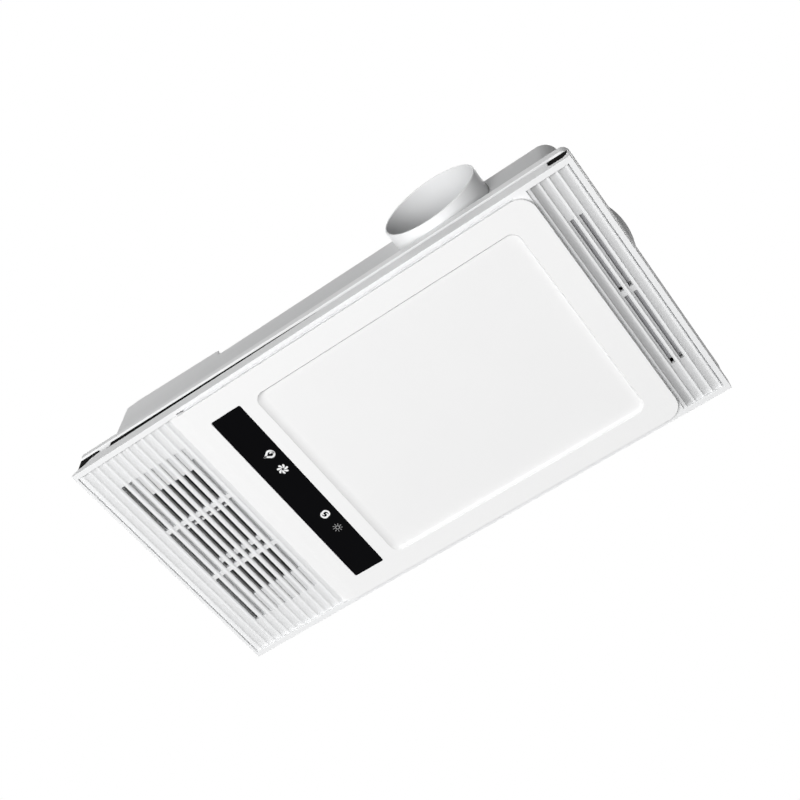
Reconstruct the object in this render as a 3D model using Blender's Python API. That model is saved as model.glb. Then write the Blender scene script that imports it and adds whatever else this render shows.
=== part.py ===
# Bathroom ceiling heater for a 600 x 300 mm ceiling module: warm air, light and extraction in one unit.
# Metres, +Z up. The origin is the centre of the module, in the plane where its frame lies
# on the ceiling grid.
# +X runs from the display end to the intake end, and the duct collar stands out on the -Y side.
import math

import bmesh
import bpy
from mathutils import Matrix, Vector

MM = 0.001

# Clearances and sheet thicknesses shared by all pieces
GAP = 0.3 * MM
PIVOT_GAP = 0.35 * MM
OVERRUN = 5 * MM
SHEET = 1.5 * MM
MOULDING = 2 * MM
ROUND_STEPS = 24
WIDE_STEPS = 40
SMALL_STEPS = 10

# Face panel: a shallow tray whose rim is the lowest plane but for the raised cover
PANEL_LENGTH = 600 * MM
PANEL_WIDTH = 300 * MM
PANEL_DEPTH = 17 * MM
PANEL_TOP = -0.4 * MM
PANEL_WALL = 2.5 * MM
PANEL_PLATE = 8 * MM
PANEL_FACE = PANEL_TOP - PANEL_DEPTH
PANEL_BACK = PANEL_FACE + PANEL_PLATE
RIM_LENGTHWISE = 3.5 * MM
RIM_CROSSWISE = 6 * MM
GROOVE = 3.2 * MM

# Ribbed zones: scoops between sharp crests, with slots through some of them
RIB_PITCH = 10 * MM
CREST_WIDTH = 1.2 * MM
CREST_RECESS = 2 * MM
SCOOP_DEPTH = 3.5 * MM
SCOOP_STEPS = 5
SLOT_WIDTH = 4 * MM
LEFT_SCOOPS = 12
LEFT_FIRST_SLOT = 2
LEFT_SLOTS = 9
LEFT_SLOT_MARGIN = 35 * MM
LEFT_CROSSBAR = 5.5 * MM
LEFT_BAYS = 3
RIGHT_SCOOPS = 4
RIGHT_FIRST_SLOT = 1
RIGHT_SLOTS = 2
RIGHT_SLOT_MARGIN = 48 * MM
RIGHT_CROSSBAR = 7 * MM
RIGHT_BAYS = 2
RIGHT_GROOVE = 4.9 * MM

# Cover plate with its light window and display pocket
COVER_PROUD = 4 * MM
COVER_MARGIN_LEFT = 13 * MM
COVER_MARGIN_RIGHT = 2.9 * MM
COVER_MARGIN_SIDE = 5.6 * MM
COVER_LEFT_RADIUS = 2 * MM
COVER_RIGHT_RADIUS = 18 * MM
COVER_LEDGE = 6.5 * MM
RAMP_LENGTH = 5.5 * MM
LIGHT_TO_COVER_SIDE = 26.4 * MM
LIGHT_TO_DISPLAY = 20.2 * MM
LIGHT_RADIUS = 11 * MM
LIGHT_RECESS = 1.2 * MM
LIGHT_TO_COVER_END = 29 * MM
DISPLAY_WIDTH = 34.4 * MM
DISPLAY_TO_COVER_SIDE = 24.6 * MM
DISPLAY_THICKNESS = 1.5 * MM
DISPLAY_TO_COVER_START = 18.9 * MM
DISPLAY_RADIUS = 2 * MM
BOARD = 1.6 * MM

# Notches in the tray's long walls
SLOPED_NOTCH_START = 43 * MM
SLOPED_NOTCH_END = 320 * MM
SLOPED_NOTCH_DEEP = 3.1 * MM
SLOPED_NOTCH_SHALLOW = 0.6 * MM
CORNER_NOTCH_START = 6 * MM
CORNER_NOTCH_DEEP_LENGTH = 10 * MM
CORNER_NOTCH_LENGTH = 27 * MM
CORNER_NOTCH_DEEP = 8.5 * MM
CORNER_NOTCH_SHALLOW = 2.5 * MM
FAR_NOTCH_START = 4 * MM
FAR_NOTCH_LENGTH = 18 * MM

# Mounting frame
FRAME_INSET = 1 * MM
FRAME_RADIUS = 8 * MM
FRAME_HEIGHT = 17.4 * MM
FRAME_OPENING_END = 32 * MM
FRAME_OPENING_SIDE = 32 * MM
CLIP_SLOT_WIDTH = 3 * MM

# Main housing
HOUSING_SIDE_INSET = 19.5 * MM
HOUSING_LEFT_INSET = 16 * MM
HOUSING_RIGHT_INSET = 23 * MM
HOUSING_LEFT_SLANT = 11.5 * MM
HOUSING_LEFT_CHAMFER = 15 * MM
HOUSING_CHAMFER_DROP = 2.2 * MM
HOUSING_HEIGHT = 99 * MM
RAISED_BY_LEFT = 16.5 * MM
RAISED_BY_RIGHT = 11 * MM
RAISED_PAST_HOOD = 10 * MM
STEP_SLANT = 3 * MM
HOUSING_CORNER = 16 * MM
HOUSING_LEFT_CORNER = 3 * MM
BULGE_RADIUS = 79 * MM
BULGE_PROUD = 14 * MM
BULGE_Y = -9 * MM
HOOD_BACK = 110 * MM

# Outlet collar and its backflow flaps
COLLAR_RADIUS = 53.5 * MM
COLLAR_WALL = 2.5 * MM
COLLAR_FROM_RIGHT = 127 * MM
COLLAR_HEIGHT = 72.6 * MM
COLLAR_PROUD = 27.5 * MM
COLLAR_TO_DUCT = 12.5 * MM
COLLAR_RING = 2 * MM
COLLAR_RING_PROUD = 1.6 * MM
COLLAR_SHOULDER = 3.5 * MM
SPINDLE_RADIUS = 1.5 * MM
SLEEVE_WALL = 1.2 * MM
SLEEVE_LENGTH = 12 * MM
FLAP_THICKNESS = 1.5 * MM
FLAP_RIM_GAP = 1 * MM
FLAP_TO_COLLAR_END = 7.5 * MM

# Fan: scroll, impeller and motor on one upright axis
SCROLL_GROWTH = 16 * MM
SCROLL_BASE = 18 * MM
MOTOR_ROOM = 33 * MM
SCROLL_OUTLET_END = 80 * MM
SCROLL_TONGUE = 60 * MM
SCROLL_OUTLET_INNER = 15 * MM
INLET_OVERLAP = 8 * MM
INLET_LIP = 8 * MM
INLET_DEPTH = 3 * MM
IMPELLER_CLEAR = 5 * MM
IMPELLER_BLADE = 12 * MM
IMPELLER_SHARE_OF_SCROLL = 0.75
IMPELLER_PLATE = 1.6 * MM
BLADE_THICKNESS = 1.4 * MM
BLADE_COUNT = 20
HUB_RADIUS = 11 * MM
HUB_HEIGHT = 12 * MM
SHAFT_RADIUS = 4 * MM
SHAFT_GAP = 0.5 * MM
MOTOR_RADIUS = 38 * MM
MOTOR_FLANGE = 8 * MM
STATOR_THICKNESS = 13 * MM
STATOR_HEIGHT = 18 * MM
ROTOR_GAP = 0.5 * MM
MOTOR_SCREWS = 3
SCREW_RADIUS = 2 * MM
SCREW_HEAD_RADIUS = 3.8 * MM
SCREW_HEAD = 2.4 * MM
SCREW_SIDES = 8

# Air duct with the diverter damper
DUCT_BEND = 90 * MM
DUCT_WINDOW_START = 6 * MM
DUCT_WINDOW_EDGE = 4 * MM
DAMPER_TIP_GAP = 0.8 * MM
DAMPER_THICKNESS = 1.5 * MM
DAMPER_SHAFT_RADIUS = 2.2 * MM
DAMPER_FROM_WALL = 2.6 * MM
DAMPER_FROM_END = 70 * MM
DAMPER_MOTOR_RADIUS = 14 * MM
DAMPER_MOTOR_HEIGHT = 18 * MM
BAFFLE_FROM_MOTOR = 2 * MM

# Louvre frame and its vanes
LOUVRE_FACE_DEPTH = 4.9 * MM
LOUVRE_PLATE = 2 * MM
LOUVRE_TOP = 18 * MM
LOUVRE_WALL = 2.5 * MM
LOUVRE_FROM_END = 41 * MM
LOUVRE_BESIDE_VANES = 5.1 * MM
LOUVRE_FROM_SIDE = 67.5 * MM
LOUVRE_WALL_CLEAR = 3 * MM
LOUVRE_PLATE_END = 29.5 * MM
LOUVRE_PLATE_BORDER = 6 * MM
LOUVRE_CROSSBAR = 5 * MM
LOUVRE_FLANGE = 12 * MM
LOUVRE_BAYS = 3
VANE_COUNT = 8
VANE_PITCH = 10.7 * MM
VANE_CHORD = 12 * MM
VANE_THICKNESS = 1.5 * MM
VANE_AXIS_HEIGHT = 8 * MM
VANE_AXLE_RADIUS = 1.3 * MM
CRANK_THROW = 5 * MM
CRANK_WIDTH = 4 * MM
CRANK_THICKNESS = 2 * MM
CRANK_PIN = 4.5 * MM
LINK_WIDTH = 5 * MM
LINK_THICKNESS = 1.8 * MM
LINK_END = 4 * MM
VANE_MOTOR_RADIUS = 9.8 * MM
VANE_MOTOR_LENGTH = 15 * MM
VANE_MOTOR_GRIP = 8 * MM

# Heater hood and heating elements
HOOD_FROM_SIDE = 50 * MM
HOOD_FROM_END = 32 * MM
HOOD_LENGTH = 118 * MM
HOOD_UNDER_ROOF = 4 * MM
ELEMENT_DEPTH = 20 * MM
ELEMENT_FROM_WINDOW = 3 * MM
ELEMENT_COUNT = 3
ELEMENT_FINS = 14
ELEMENT_CORE = 4 * MM
FIN_SHARE = 0.5
HEATER_FRAME_WALL = 3 * MM
HEATER_FRAME_END = 6 * MM

# Light and control parts
TRAY_FLANGE_OUT = 8 * MM
TRAY_FLANGE_IN = 4 * MM
TRAY_DEPTH = 10 * MM
TRAY_SHEET = 1.2 * MM
TRAY_RADIUS = 6 * MM
LED_BOARD_MARGIN = 4.5 * MM
LED_BOARD = 1 * MM
DRIVER_LENGTH = 90 * MM
DRIVER_WIDTH = 36 * MM
DRIVER_HEIGHT = 18 * MM
DRIVER_FROM_LIGHT_END = 96.8 * MM
DRIVER_FROM_LIGHT_SIDE = 22 * MM
CONTROL_BOX_LENGTH = 110 * MM
CONTROL_BOX_WIDTH = 70 * MM
CONTROL_BOX_OVER_DUCT = 7.3 * MM
CONTROL_BOX_TO_HOOD = 90 * MM
CONTROL_BOX_TO_WALL = 14 * MM
CAPACITOR_RADIUS = 12 * MM
CAPACITOR_LENGTH = 48 * MM
CAPACITOR_FROM_END = 77 * MM
CAPACITOR_TO_WALL = 39 * MM
TERMINAL_LENGTH = 44 * MM
TERMINAL_DEPTH = 20 * MM
TERMINAL_HEIGHT = 18 * MM
TERMINAL_FROM_END = 127 * MM
TERMINAL_Z = 50 * MM
TERMINAL_POLES = 4
TERMINAL_HOLE_SHARE = 0.45
GLAND_FROM_END = 57 * MM
GLAND_Z = 60 * MM
GLAND_THREAD_RADIUS = 8 * MM
GLAND_NUT_RADIUS = 11 * MM
GLAND_BORE_RADIUS = 4 * MM
GLAND_LENGTH = 15 * MM
GLAND_INSIDE = 8 * MM

# Spring clips that hold the panel up
CLIP_WIDTH = 10 * MM
CLIP_THICKNESS = 0.8 * MM
CLIP_REACH = 46 * MM
CLIP_FOOT = 12 * MM
CLIP_LEFT_X = 100 * MM
CLIP_RIGHT_X = 45 * MM
CLIP_FROM_HOUSING = 6 * MM

# Places that follow from the sizes above
HALF_LENGTH = PANEL_LENGTH / 2
HALF_WIDTH = PANEL_WIDTH / 2
FIRST_CREST = -HALF_LENGTH + RIM_LENGTHWISE + GROOVE
LAST_LEFT_CREST = FIRST_CREST + LEFT_SCOOPS * RIB_PITCH
LAST_CREST = HALF_LENGTH - RIM_LENGTHWISE - RIGHT_GROOVE
FIRST_RIGHT_CREST = LAST_CREST - RIGHT_SCOOPS * RIB_PITCH
RIB_REACH = HALF_WIDTH - RIM_CROSSWISE
CREST_LEVEL = PANEL_FACE + CREST_RECESS
COVER_LEFT = LAST_LEFT_CREST + COVER_MARGIN_LEFT
COVER_RIGHT = FIRST_RIGHT_CREST - COVER_MARGIN_RIGHT
COVER_REACH = HALF_WIDTH - COVER_MARGIN_SIDE
LEFT_SLOT_REACH = RIB_REACH - LEFT_SLOT_MARGIN
RIGHT_SLOT_REACH = RIB_REACH - RIGHT_SLOT_MARGIN
COVER_FACE = PANEL_FACE - COVER_PROUD
COVER_BACK = PANEL_FACE - GAP
DISPLAY_LEFT = COVER_LEFT + DISPLAY_TO_COVER_START
DISPLAY_REACH = COVER_REACH - DISPLAY_TO_COVER_SIDE
LIGHT_LEFT = DISPLAY_LEFT + DISPLAY_WIDTH + LIGHT_TO_DISPLAY
LIGHT_RIGHT = COVER_RIGHT - LIGHT_TO_COVER_END
LIGHT_REACH = COVER_REACH - LIGHT_TO_COVER_SIDE
HOUSING_REACH = HALF_WIDTH - HOUSING_SIDE_INSET
HOUSING_LEFT = -HALF_LENGTH + HOUSING_LEFT_INSET
HOUSING_RIGHT = HALF_LENGTH - HOUSING_RIGHT_INSET
HOUSING_BASE = SHEET + GAP
ROOF_UNDERSIDE = HOUSING_HEIGHT - SHEET
RAISED_HEIGHT_LEFT = HOUSING_HEIGHT + RAISED_BY_LEFT
RAISED_HEIGHT_RIGHT = HOUSING_HEIGHT + RAISED_BY_RIGHT
SCROLL_HEIGHT = HOUSING_HEIGHT - MOTOR_ROOM - SCROLL_BASE
FAN_X = HOUSING_RIGHT + BULGE_PROUD - BULGE_RADIUS
FAN_Y = BULGE_Y
SCROLL_END_RADIUS = BULGE_RADIUS
SCROLL_START_RADIUS = SCROLL_END_RADIUS - SCROLL_GROWTH
IMPELLER_RADIUS = SCROLL_START_RADIUS - MOULDING - IMPELLER_CLEAR
INLET_RADIUS = IMPELLER_RADIUS - INLET_OVERLAP
SCROLL_TOP = SCROLL_BASE + SCROLL_HEIGHT
CHANNEL_FRONT = FAN_Y - SCROLL_END_RADIUS
CHANNEL_BACK = FAN_Y - SCROLL_OUTLET_INNER
DUCT_START = FAN_X - SCROLL_OUTLET_END - GAP
COLLAR_X = HOUSING_RIGHT - COLLAR_FROM_RIGHT
COLLAR_MOUTH = -HOUSING_REACH - COLLAR_PROUD
COLLAR_INNER_END = CHANNEL_FRONT - COLLAR_TO_DUCT
FLAP_Y = COLLAR_INNER_END - FLAP_TO_COLLAR_END
HOOD_LEFT = -HALF_LENGTH + HOOD_FROM_END
HOOD_RIGHT = HOOD_LEFT + HOOD_LENGTH
HOOD_REACH = HALF_WIDTH - HOOD_FROM_SIDE
HOOD_BASE = LOUVRE_TOP + GAP
HOOD_HEIGHT = RAISED_HEIGHT_RIGHT - HOOD_UNDER_ROOF
RAISED_END = HOOD_RIGHT + RAISED_PAST_HOOD
DAMPER_X = DUCT_START - DAMPER_FROM_END
DAMPER_Y = CHANNEL_FRONT + MOULDING + DAMPER_FROM_WALL
DAMPER_LENGTH = CHANNEL_BACK - MOULDING - DAMPER_TIP_GAP - DAMPER_Y
LOUVRE_LEFT = -HALF_LENGTH + LOUVRE_FROM_END
LOUVRE_RIGHT = LOUVRE_LEFT + (VANE_COUNT - 1) * VANE_PITCH + LOUVRE_BESIDE_VANES
LOUVRE_OPENING_REACH = HALF_WIDTH - LOUVRE_FROM_SIDE
LOUVRE_PLATE_REACH = LOUVRE_OPENING_REACH + LOUVRE_PLATE_END
LOUVRE_INNER_LEFT = LOUVRE_LEFT - LOUVRE_WALL_CLEAR
LOUVRE_INNER_RIGHT = LOUVRE_RIGHT + LOUVRE_WALL_CLEAR
LOUVRE_INNER_REACH = LOUVRE_OPENING_REACH + GAP
LOUVRE_OUTER_REACH = LOUVRE_INNER_REACH + LOUVRE_WALL
LOUVRE_MIDDLE = (LOUVRE_LEFT + LOUVRE_RIGHT) / 2
CRANK_Y = -LOUVRE_OUTER_REACH - GAP - CRANK_THICKNESS
CLIP_Y = HOUSING_REACH - SHEET - CLIP_FROM_HOUSING
DRIVER_X = LIGHT_LEFT + DRIVER_FROM_LIGHT_END
DRIVER_Y = LIGHT_REACH - DRIVER_FROM_LIGHT_SIDE - DRIVER_WIDTH
CONTROL_BOX_X = HOOD_RIGHT + CONTROL_BOX_TO_HOOD
CONTROL_BOX_Y = HOUSING_REACH - SHEET - CONTROL_BOX_TO_WALL - CONTROL_BOX_WIDTH
CAPACITOR_X = HOUSING_RIGHT - CAPACITOR_FROM_END
CAPACITOR_Y = HOUSING_REACH - SHEET - CAPACITOR_TO_WALL
TERMINAL_X = HOUSING_RIGHT - TERMINAL_FROM_END
GLAND_X = HOUSING_RIGHT - GLAND_FROM_END


# Materials

def finish_material(name, colour, roughness, metallic=0.0):
    """A plain Principled material in the part's own colour."""
    made = bpy.data.materials.new(name)
    made.use_nodes = True
    shader = made.node_tree.nodes["Principled BSDF"]
    shader.inputs["Base Color"].default_value = (*colour, 1.0)
    shader.inputs["Roughness"].default_value = roughness
    shader.inputs["Metallic"].default_value = metallic
    return made


FINISHES = {
    "white_plastic": ((0.86, 0.86, 0.86), 0.32, 0.0),
    "cover_gloss": ((0.9, 0.9, 0.9), 0.18, 0.0),
    "light_acrylic": ((0.88, 0.88, 0.87), 0.3, 0.0),
    "black_glass": ((0.01, 0.01, 0.012), 0.08, 0.0),
    "painted_steel": ((0.72, 0.72, 0.72), 0.45, 0.0),
    "zinc_steel": ((0.55, 0.56, 0.57), 0.4, 0.9),
    "dark_plastic": ((0.06, 0.06, 0.065), 0.5, 0.0),
    "grey_plastic": ((0.45, 0.46, 0.47), 0.5, 0.0),
    "aluminium": ((0.7, 0.7, 0.72), 0.35, 1.0),
    "bright_steel": ((0.62, 0.62, 0.63), 0.28, 1.0),
    "winding_steel": ((0.3, 0.28, 0.26), 0.5, 0.7),
    "green_board": ((0.03, 0.16, 0.07), 0.5, 0.0),
    "white_board": ((0.8, 0.8, 0.78), 0.5, 0.0),
}


# Shapes. Each helper returns a new object with a closed mesh, in world coordinates.

def solid_from(bm):
    """Turns an edited mesh into an object in the scene."""
    bmesh.ops.recalc_face_normals(bm, faces=bm.faces)
    mesh = bpy.data.meshes.new("shape")
    bm.to_mesh(mesh)
    bm.free()
    made = bpy.data.objects.new("shape", mesh)
    bpy.context.scene.collection.objects.link(made)
    return made


def add_block(bm, x, y, z):
    """Adds a box between the two values of each axis to the mesh."""
    corners = [(x[i], y[j], z[k]) for i in (0, 1) for j in (0, 1) for k in (0, 1)]
    v = [bm.verts.new(corner) for corner in corners]
    for face in ((0, 1, 3, 2), (4, 6, 7, 5), (0, 4, 5, 1), (2, 3, 7, 6), (0, 2, 6, 4), (1, 5, 7, 3)):
        bm.faces.new([v[i] for i in face])


def block(x, y, z):
    """A box between the two values of each axis."""
    return blocks([(x, y, z)])


def blocks(boxes):
    """Several boxes that don't touch, as one mesh to cut with."""
    bm = bmesh.new()
    for x, y, z in boxes:
        add_block(bm, x, y, z)
    return solid_from(bm)


def placed(axis, u, v, w):
    """The point at u, v across the axis and w along it.

    Across X lie Y and Z, across Y X and Z, across Z X and Y.
    """
    return {"X": (w, u, v), "Y": (u, w, v), "Z": (u, v, w)}[axis]


def prism(outline, axis, low, high):
    """A closed outline, extruded along an axis."""
    bm = bmesh.new()
    rings = [[bm.verts.new(placed(axis, u, v, w)) for u, v in outline] for w in (low, high)]
    bm.faces.new(rings[0])
    bm.faces.new(rings[1])
    for i in range(len(outline)):
        j = (i + 1) % len(outline)
        bm.faces.new((rings[0][i], rings[0][j], rings[1][j], rings[1][i]))
    return solid_from(bm)


def arc(centre, radius, start, end, steps):
    """Points along an arc, angles in degrees."""
    angles = [math.radians(start + (end - start) * i / steps) for i in range(steps + 1)]
    return [(centre[0] + radius * math.cos(a), centre[1] + radius * math.sin(a)) for a in angles]


def circle(centre, radius, steps):
    """Points round a full circle."""
    return arc(centre, radius, 0, 360, steps)[:-1]


def rounded(low, high, radii, steps=4):
    """A rectangle's outline with a radius at each corner, from low left round to high left."""
    corners = ((low[0], low[1], 180), (high[0], low[1], 270), (high[0], high[1], 0), (low[0], high[1], 90))
    points = []
    for (x, y, start), radius in zip(corners, radii):
        centre = (x + radius * (1 if x == low[0] else -1), y + radius * (1 if y == low[1] else -1))
        points += arc(centre, radius, start, start + 90, steps)
    return points


def rod(axis, centre, radius, low, high, steps=ROUND_STEPS):
    """A round bar along an axis."""
    return prism(circle(centre, radius, steps), axis, low, high)


def turned(profile, axis, centre, steps=ROUND_STEPS):
    """A closed profile of radius and height pairs, turned round an axis. No point lies on the axis itself."""
    bm = bmesh.new()
    rings = []
    for u, v in circle((0, 0), 1, steps):
        ring = [placed(axis, centre[0] + r * u, centre[1] + r * v, h) for r, h in profile]
        rings.append([bm.verts.new(point) for point in ring])
    for i in range(steps):
        for j in range(len(profile)):
            k = (j + 1) % len(profile)
            this, after = rings[i], rings[(i + 1) % steps]
            bm.faces.new((this[j], after[j], after[k], this[k]))
    return solid_from(bm)


def combined(base, tools, operation):
    """Joins, cuts or intersects the base with each tool, exactly, and removes the tools."""
    for tool in tools:
        modifier = base.modifiers.new("Shape", "BOOLEAN")
        modifier.operation = operation
        modifier.solver = "EXACT"
        modifier.object = tool
        graph = bpy.context.evaluated_depsgraph_get()
        mesh = bpy.data.meshes.new_from_object(base.evaluated_get(graph))
        base.modifiers.clear()
        base.data = mesh
        bpy.data.objects.remove(tool)
    return base


def fused(base, *tools):
    return combined(base, tools, "UNION")


def carved(base, *tools):
    return combined(base, tools, "DIFFERENCE")


def trimmed(base, *tools):
    return combined(base, tools, "INTERSECT")


def named(made, name, finish, smooth=None, pivot=None):
    """Names a finished piece, gives it its material, and puts its origin on its joint's axis."""
    made.name = name
    made.data.name = name
    made.data.materials.clear()
    made.data.materials.append(finish_material(name, *FINISHES[finish]))
    if smooth:
        made.data.shade_smooth()
        made.data.set_sharp_from_angle(angle=math.radians(smooth))
    if pivot:
        made.data.transform(Matrix.Translation(-Vector(pivot)))
        made.location = pivot
    return made


def both(reach):
    """The two ends of a length that is centred on zero."""
    return (-reach, reach)


# Face panel

def scoop(crest):
    """The cutter of one scoop, from this crest to the next."""
    left = crest + CREST_WIDTH / 2
    right = crest + RIB_PITCH - CREST_WIDTH / 2
    half = (right - left) / 2
    radius = (half ** 2 + SCOOP_DEPTH ** 2) / (2 * SCOOP_DEPTH)
    spread = math.degrees(math.asin(half / radius))
    centre = ((left + right) / 2, CREST_LEVEL + SCOOP_DEPTH - radius)
    curve = arc(centre, radius, 90 + spread, 90 - spread, SCOOP_STEPS)
    below = PANEL_FACE - OVERRUN
    return prism([(left, below)] + curve + [(right, below)], "Y", -RIB_REACH, RIB_REACH)


def slots(first_crest, count, reach, crossbar, bays):
    """The cutter of a row of slots, each in the middle of its scoop and split by crossbars."""
    bay = (2 * reach - (bays - 1) * crossbar) / bays
    boxes = []
    for i in range(count):
        middle = first_crest + (i + 0.5) * RIB_PITCH
        for j in range(bays):
            start = -reach + j * (bay + crossbar)
            across = (middle - SLOT_WIDTH / 2, middle + SLOT_WIDTH / 2)
            boxes.append((across, (start, start + bay), (PANEL_FACE - OVERRUN, PANEL_BACK + OVERRUN)))
    return blocks(boxes)


def wall_notches():
    """The cutters of the notches in the tray's long walls, seen from its side."""
    top = PANEL_TOP + OVERRUN
    start = -HALF_LENGTH + CORNER_NOTCH_START
    near = [
        (start, PANEL_TOP - CORNER_NOTCH_DEEP),
        (start + CORNER_NOTCH_DEEP_LENGTH, PANEL_TOP - CORNER_NOTCH_DEEP),
        (start + CORNER_NOTCH_DEEP_LENGTH, PANEL_TOP - CORNER_NOTCH_SHALLOW),
        (start + CORNER_NOTCH_LENGTH, PANEL_TOP - CORNER_NOTCH_SHALLOW),
        (start + CORNER_NOTCH_LENGTH, top),
        (start, top),
    ]
    sloped = [
        (-HALF_LENGTH + SLOPED_NOTCH_START, PANEL_TOP - SLOPED_NOTCH_DEEP),
        (-HALF_LENGTH + SLOPED_NOTCH_END, PANEL_TOP - SLOPED_NOTCH_SHALLOW),
        (-HALF_LENGTH + SLOPED_NOTCH_END, top),
        (-HALF_LENGTH + SLOPED_NOTCH_START, top),
    ]
    end = HALF_LENGTH - FAR_NOTCH_START
    far = [
        (end - FAR_NOTCH_LENGTH, PANEL_TOP - CORNER_NOTCH_DEEP),
        (end, PANEL_TOP - CORNER_NOTCH_DEEP),
        (end, top),
        (end - FAR_NOTCH_LENGTH, top),
    ]
    cutters = []
    for outline in (near, sloped, far):
        cutters.append(prism(outline, "Y", -HALF_WIDTH - OVERRUN, -HALF_WIDTH + PANEL_WALL + GAP))
        cutters.append(prism(outline, "Y", HALF_WIDTH - PANEL_WALL - GAP, HALF_WIDTH + OVERRUN))
    return cutters


def face_panel():
    """The tray: a plate with ribbed ends, a wall all round and an opening under the cover."""
    tray = block(both(HALF_LENGTH), both(HALF_WIDTH), (PANEL_FACE, PANEL_TOP))
    inside = block(
        both(HALF_LENGTH - PANEL_WALL), both(HALF_WIDTH - PANEL_WALL), (PANEL_BACK, PANEL_TOP + OVERRUN)
    )
    opening = block(
        (COVER_LEFT + COVER_LEDGE / 2, COVER_RIGHT - COVER_LEDGE),
        both(COVER_REACH - COVER_LEDGE),
        (PANEL_FACE - OVERRUN, PANEL_TOP + OVERRUN),
    )
    below = (PANEL_FACE - OVERRUN, CREST_LEVEL)
    left_zone = block((-HALF_LENGTH + RIM_LENGTHWISE, LAST_LEFT_CREST + CREST_WIDTH), both(RIB_REACH), below)
    right_zone = block((COVER_RIGHT, HALF_LENGTH - RIM_LENGTHWISE), both(RIB_REACH), below)
    carved(tray, inside, opening, left_zone, right_zone)
    fused(tray, ramp())
    for i in range(LEFT_SCOOPS):
        carved(tray, scoop(FIRST_CREST + i * RIB_PITCH))
    for i in range(RIGHT_SCOOPS):
        carved(tray, scoop(FIRST_RIGHT_CREST + i * RIB_PITCH))
    left_slot = FIRST_CREST + LEFT_FIRST_SLOT * RIB_PITCH
    right_slot = FIRST_RIGHT_CREST + RIGHT_FIRST_SLOT * RIB_PITCH
    carved(
        tray,
        slots(left_slot, LEFT_SLOTS, LEFT_SLOT_REACH, LEFT_CROSSBAR, LEFT_BAYS),
        slots(right_slot, RIGHT_SLOTS, RIGHT_SLOT_REACH, RIGHT_CROSSBAR, RIGHT_BAYS),
        *wall_notches(),
    )
    return named(tray, "face_panel", "white_plastic", smooth=35)


def ramp():
    """The sloped shoulder that leads from the ribs up to the level of the cover."""
    start = LAST_LEFT_CREST + CREST_WIDTH
    end = COVER_LEFT - GAP
    middle = (PANEL_FACE + PANEL_BACK) / 2
    outline = [
        (start, middle),
        (start, CREST_LEVEL),
        (start + RAMP_LENGTH, COVER_FACE),
        (end, COVER_FACE),
        (end, middle),
    ]
    return prism(outline, "Y", -COVER_REACH, COVER_REACH)


def cover_plate():
    """The smooth raised plate, with the light's window and the display's pocket."""
    radii = (COVER_LEFT_RADIUS, COVER_RIGHT_RADIUS, COVER_RIGHT_RADIUS, COVER_LEFT_RADIUS)
    outline = rounded((COVER_LEFT, -COVER_REACH), (COVER_RIGHT, COVER_REACH), radii, 6)
    plate = prism(outline, "Z", COVER_FACE, COVER_BACK)
    window = prism(light_outline(-GAP), "Z", COVER_FACE - OVERRUN, COVER_BACK + OVERRUN)
    floor = COVER_FACE + DISPLAY_THICKNESS + GAP
    pocket = prism(display_outline(-GAP), "Z", COVER_FACE - OVERRUN, floor)
    return named(carved(plate, window, pocket), "cover_plate", "cover_gloss", smooth=35)


def light_outline(inset, radius=LIGHT_RADIUS):
    """The light field's outline, smaller by the inset on all sides."""
    low = (LIGHT_LEFT + inset, -LIGHT_REACH + inset)
    high = (LIGHT_RIGHT - inset, LIGHT_REACH - inset)
    return rounded(low, high, (radius,) * 4, 6)


def display_outline(inset):
    """The display's outline, smaller by the inset on all sides."""
    low = (DISPLAY_LEFT + inset, -DISPLAY_REACH + inset)
    high = (DISPLAY_LEFT + DISPLAY_WIDTH - inset, DISPLAY_REACH - inset)
    return rounded(low, high, (DISPLAY_RADIUS,) * 4, 3)


def light_parts():
    """Diffuser, light tray, board with its driver: all carried by the cover."""
    lens = prism(light_outline(0), "Z", COVER_FACE + LIGHT_RECESS, COVER_BACK)
    named(lens, "light_diffuser", "light_acrylic", smooth=35)
    base = PANEL_FACE
    back = base + TRAY_DEPTH
    wall = TRAY_FLANGE_IN + TRAY_SHEET
    tray = prism(light_outline(-TRAY_FLANGE_OUT), "Z", base, base + TRAY_SHEET)
    fused(tray, prism(light_outline(TRAY_FLANGE_IN, TRAY_RADIUS), "Z", base + TRAY_SHEET / 2, back))
    carved(tray, prism(light_outline(wall, TRAY_RADIUS), "Z", base - OVERRUN, back - TRAY_SHEET))
    named(tray, "light_tray", "zinc_steel", smooth=35)
    inset = wall + LED_BOARD_MARGIN
    top = back - TRAY_SHEET - GAP
    board = block(
        (LIGHT_LEFT + inset, LIGHT_RIGHT - inset), both(LIGHT_REACH - inset), (top - LED_BOARD, top)
    )
    named(board, "led_board", "white_board")
    driver = block(
        (DRIVER_X, DRIVER_X + DRIVER_LENGTH),
        (DRIVER_Y, DRIVER_Y + DRIVER_WIDTH),
        (back + GAP, back + GAP + DRIVER_HEIGHT),
    )
    named(driver, "led_driver", "white_plastic")


def display_parts():
    """The black glass strip in its pocket, and the board behind the pocket's floor."""
    glass = prism(display_outline(0), "Z", COVER_FACE, COVER_FACE + DISPLAY_THICKNESS)
    named(glass, "display_glass", "black_glass")
    board = block(
        (DISPLAY_LEFT + MOULDING, DISPLAY_LEFT + DISPLAY_WIDTH - MOULDING),
        both(DISPLAY_REACH - MOULDING),
        (PANEL_FACE, PANEL_FACE + BOARD),
    )
    named(board, "display_board", "green_board")


def clip_places():
    """Where the four spring clips stand."""
    columns = (-HALF_LENGTH + CLIP_LEFT_X, HALF_LENGTH - CLIP_RIGHT_X)
    return [(x, side) for x in columns for side in (-1, 1)]


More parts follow.
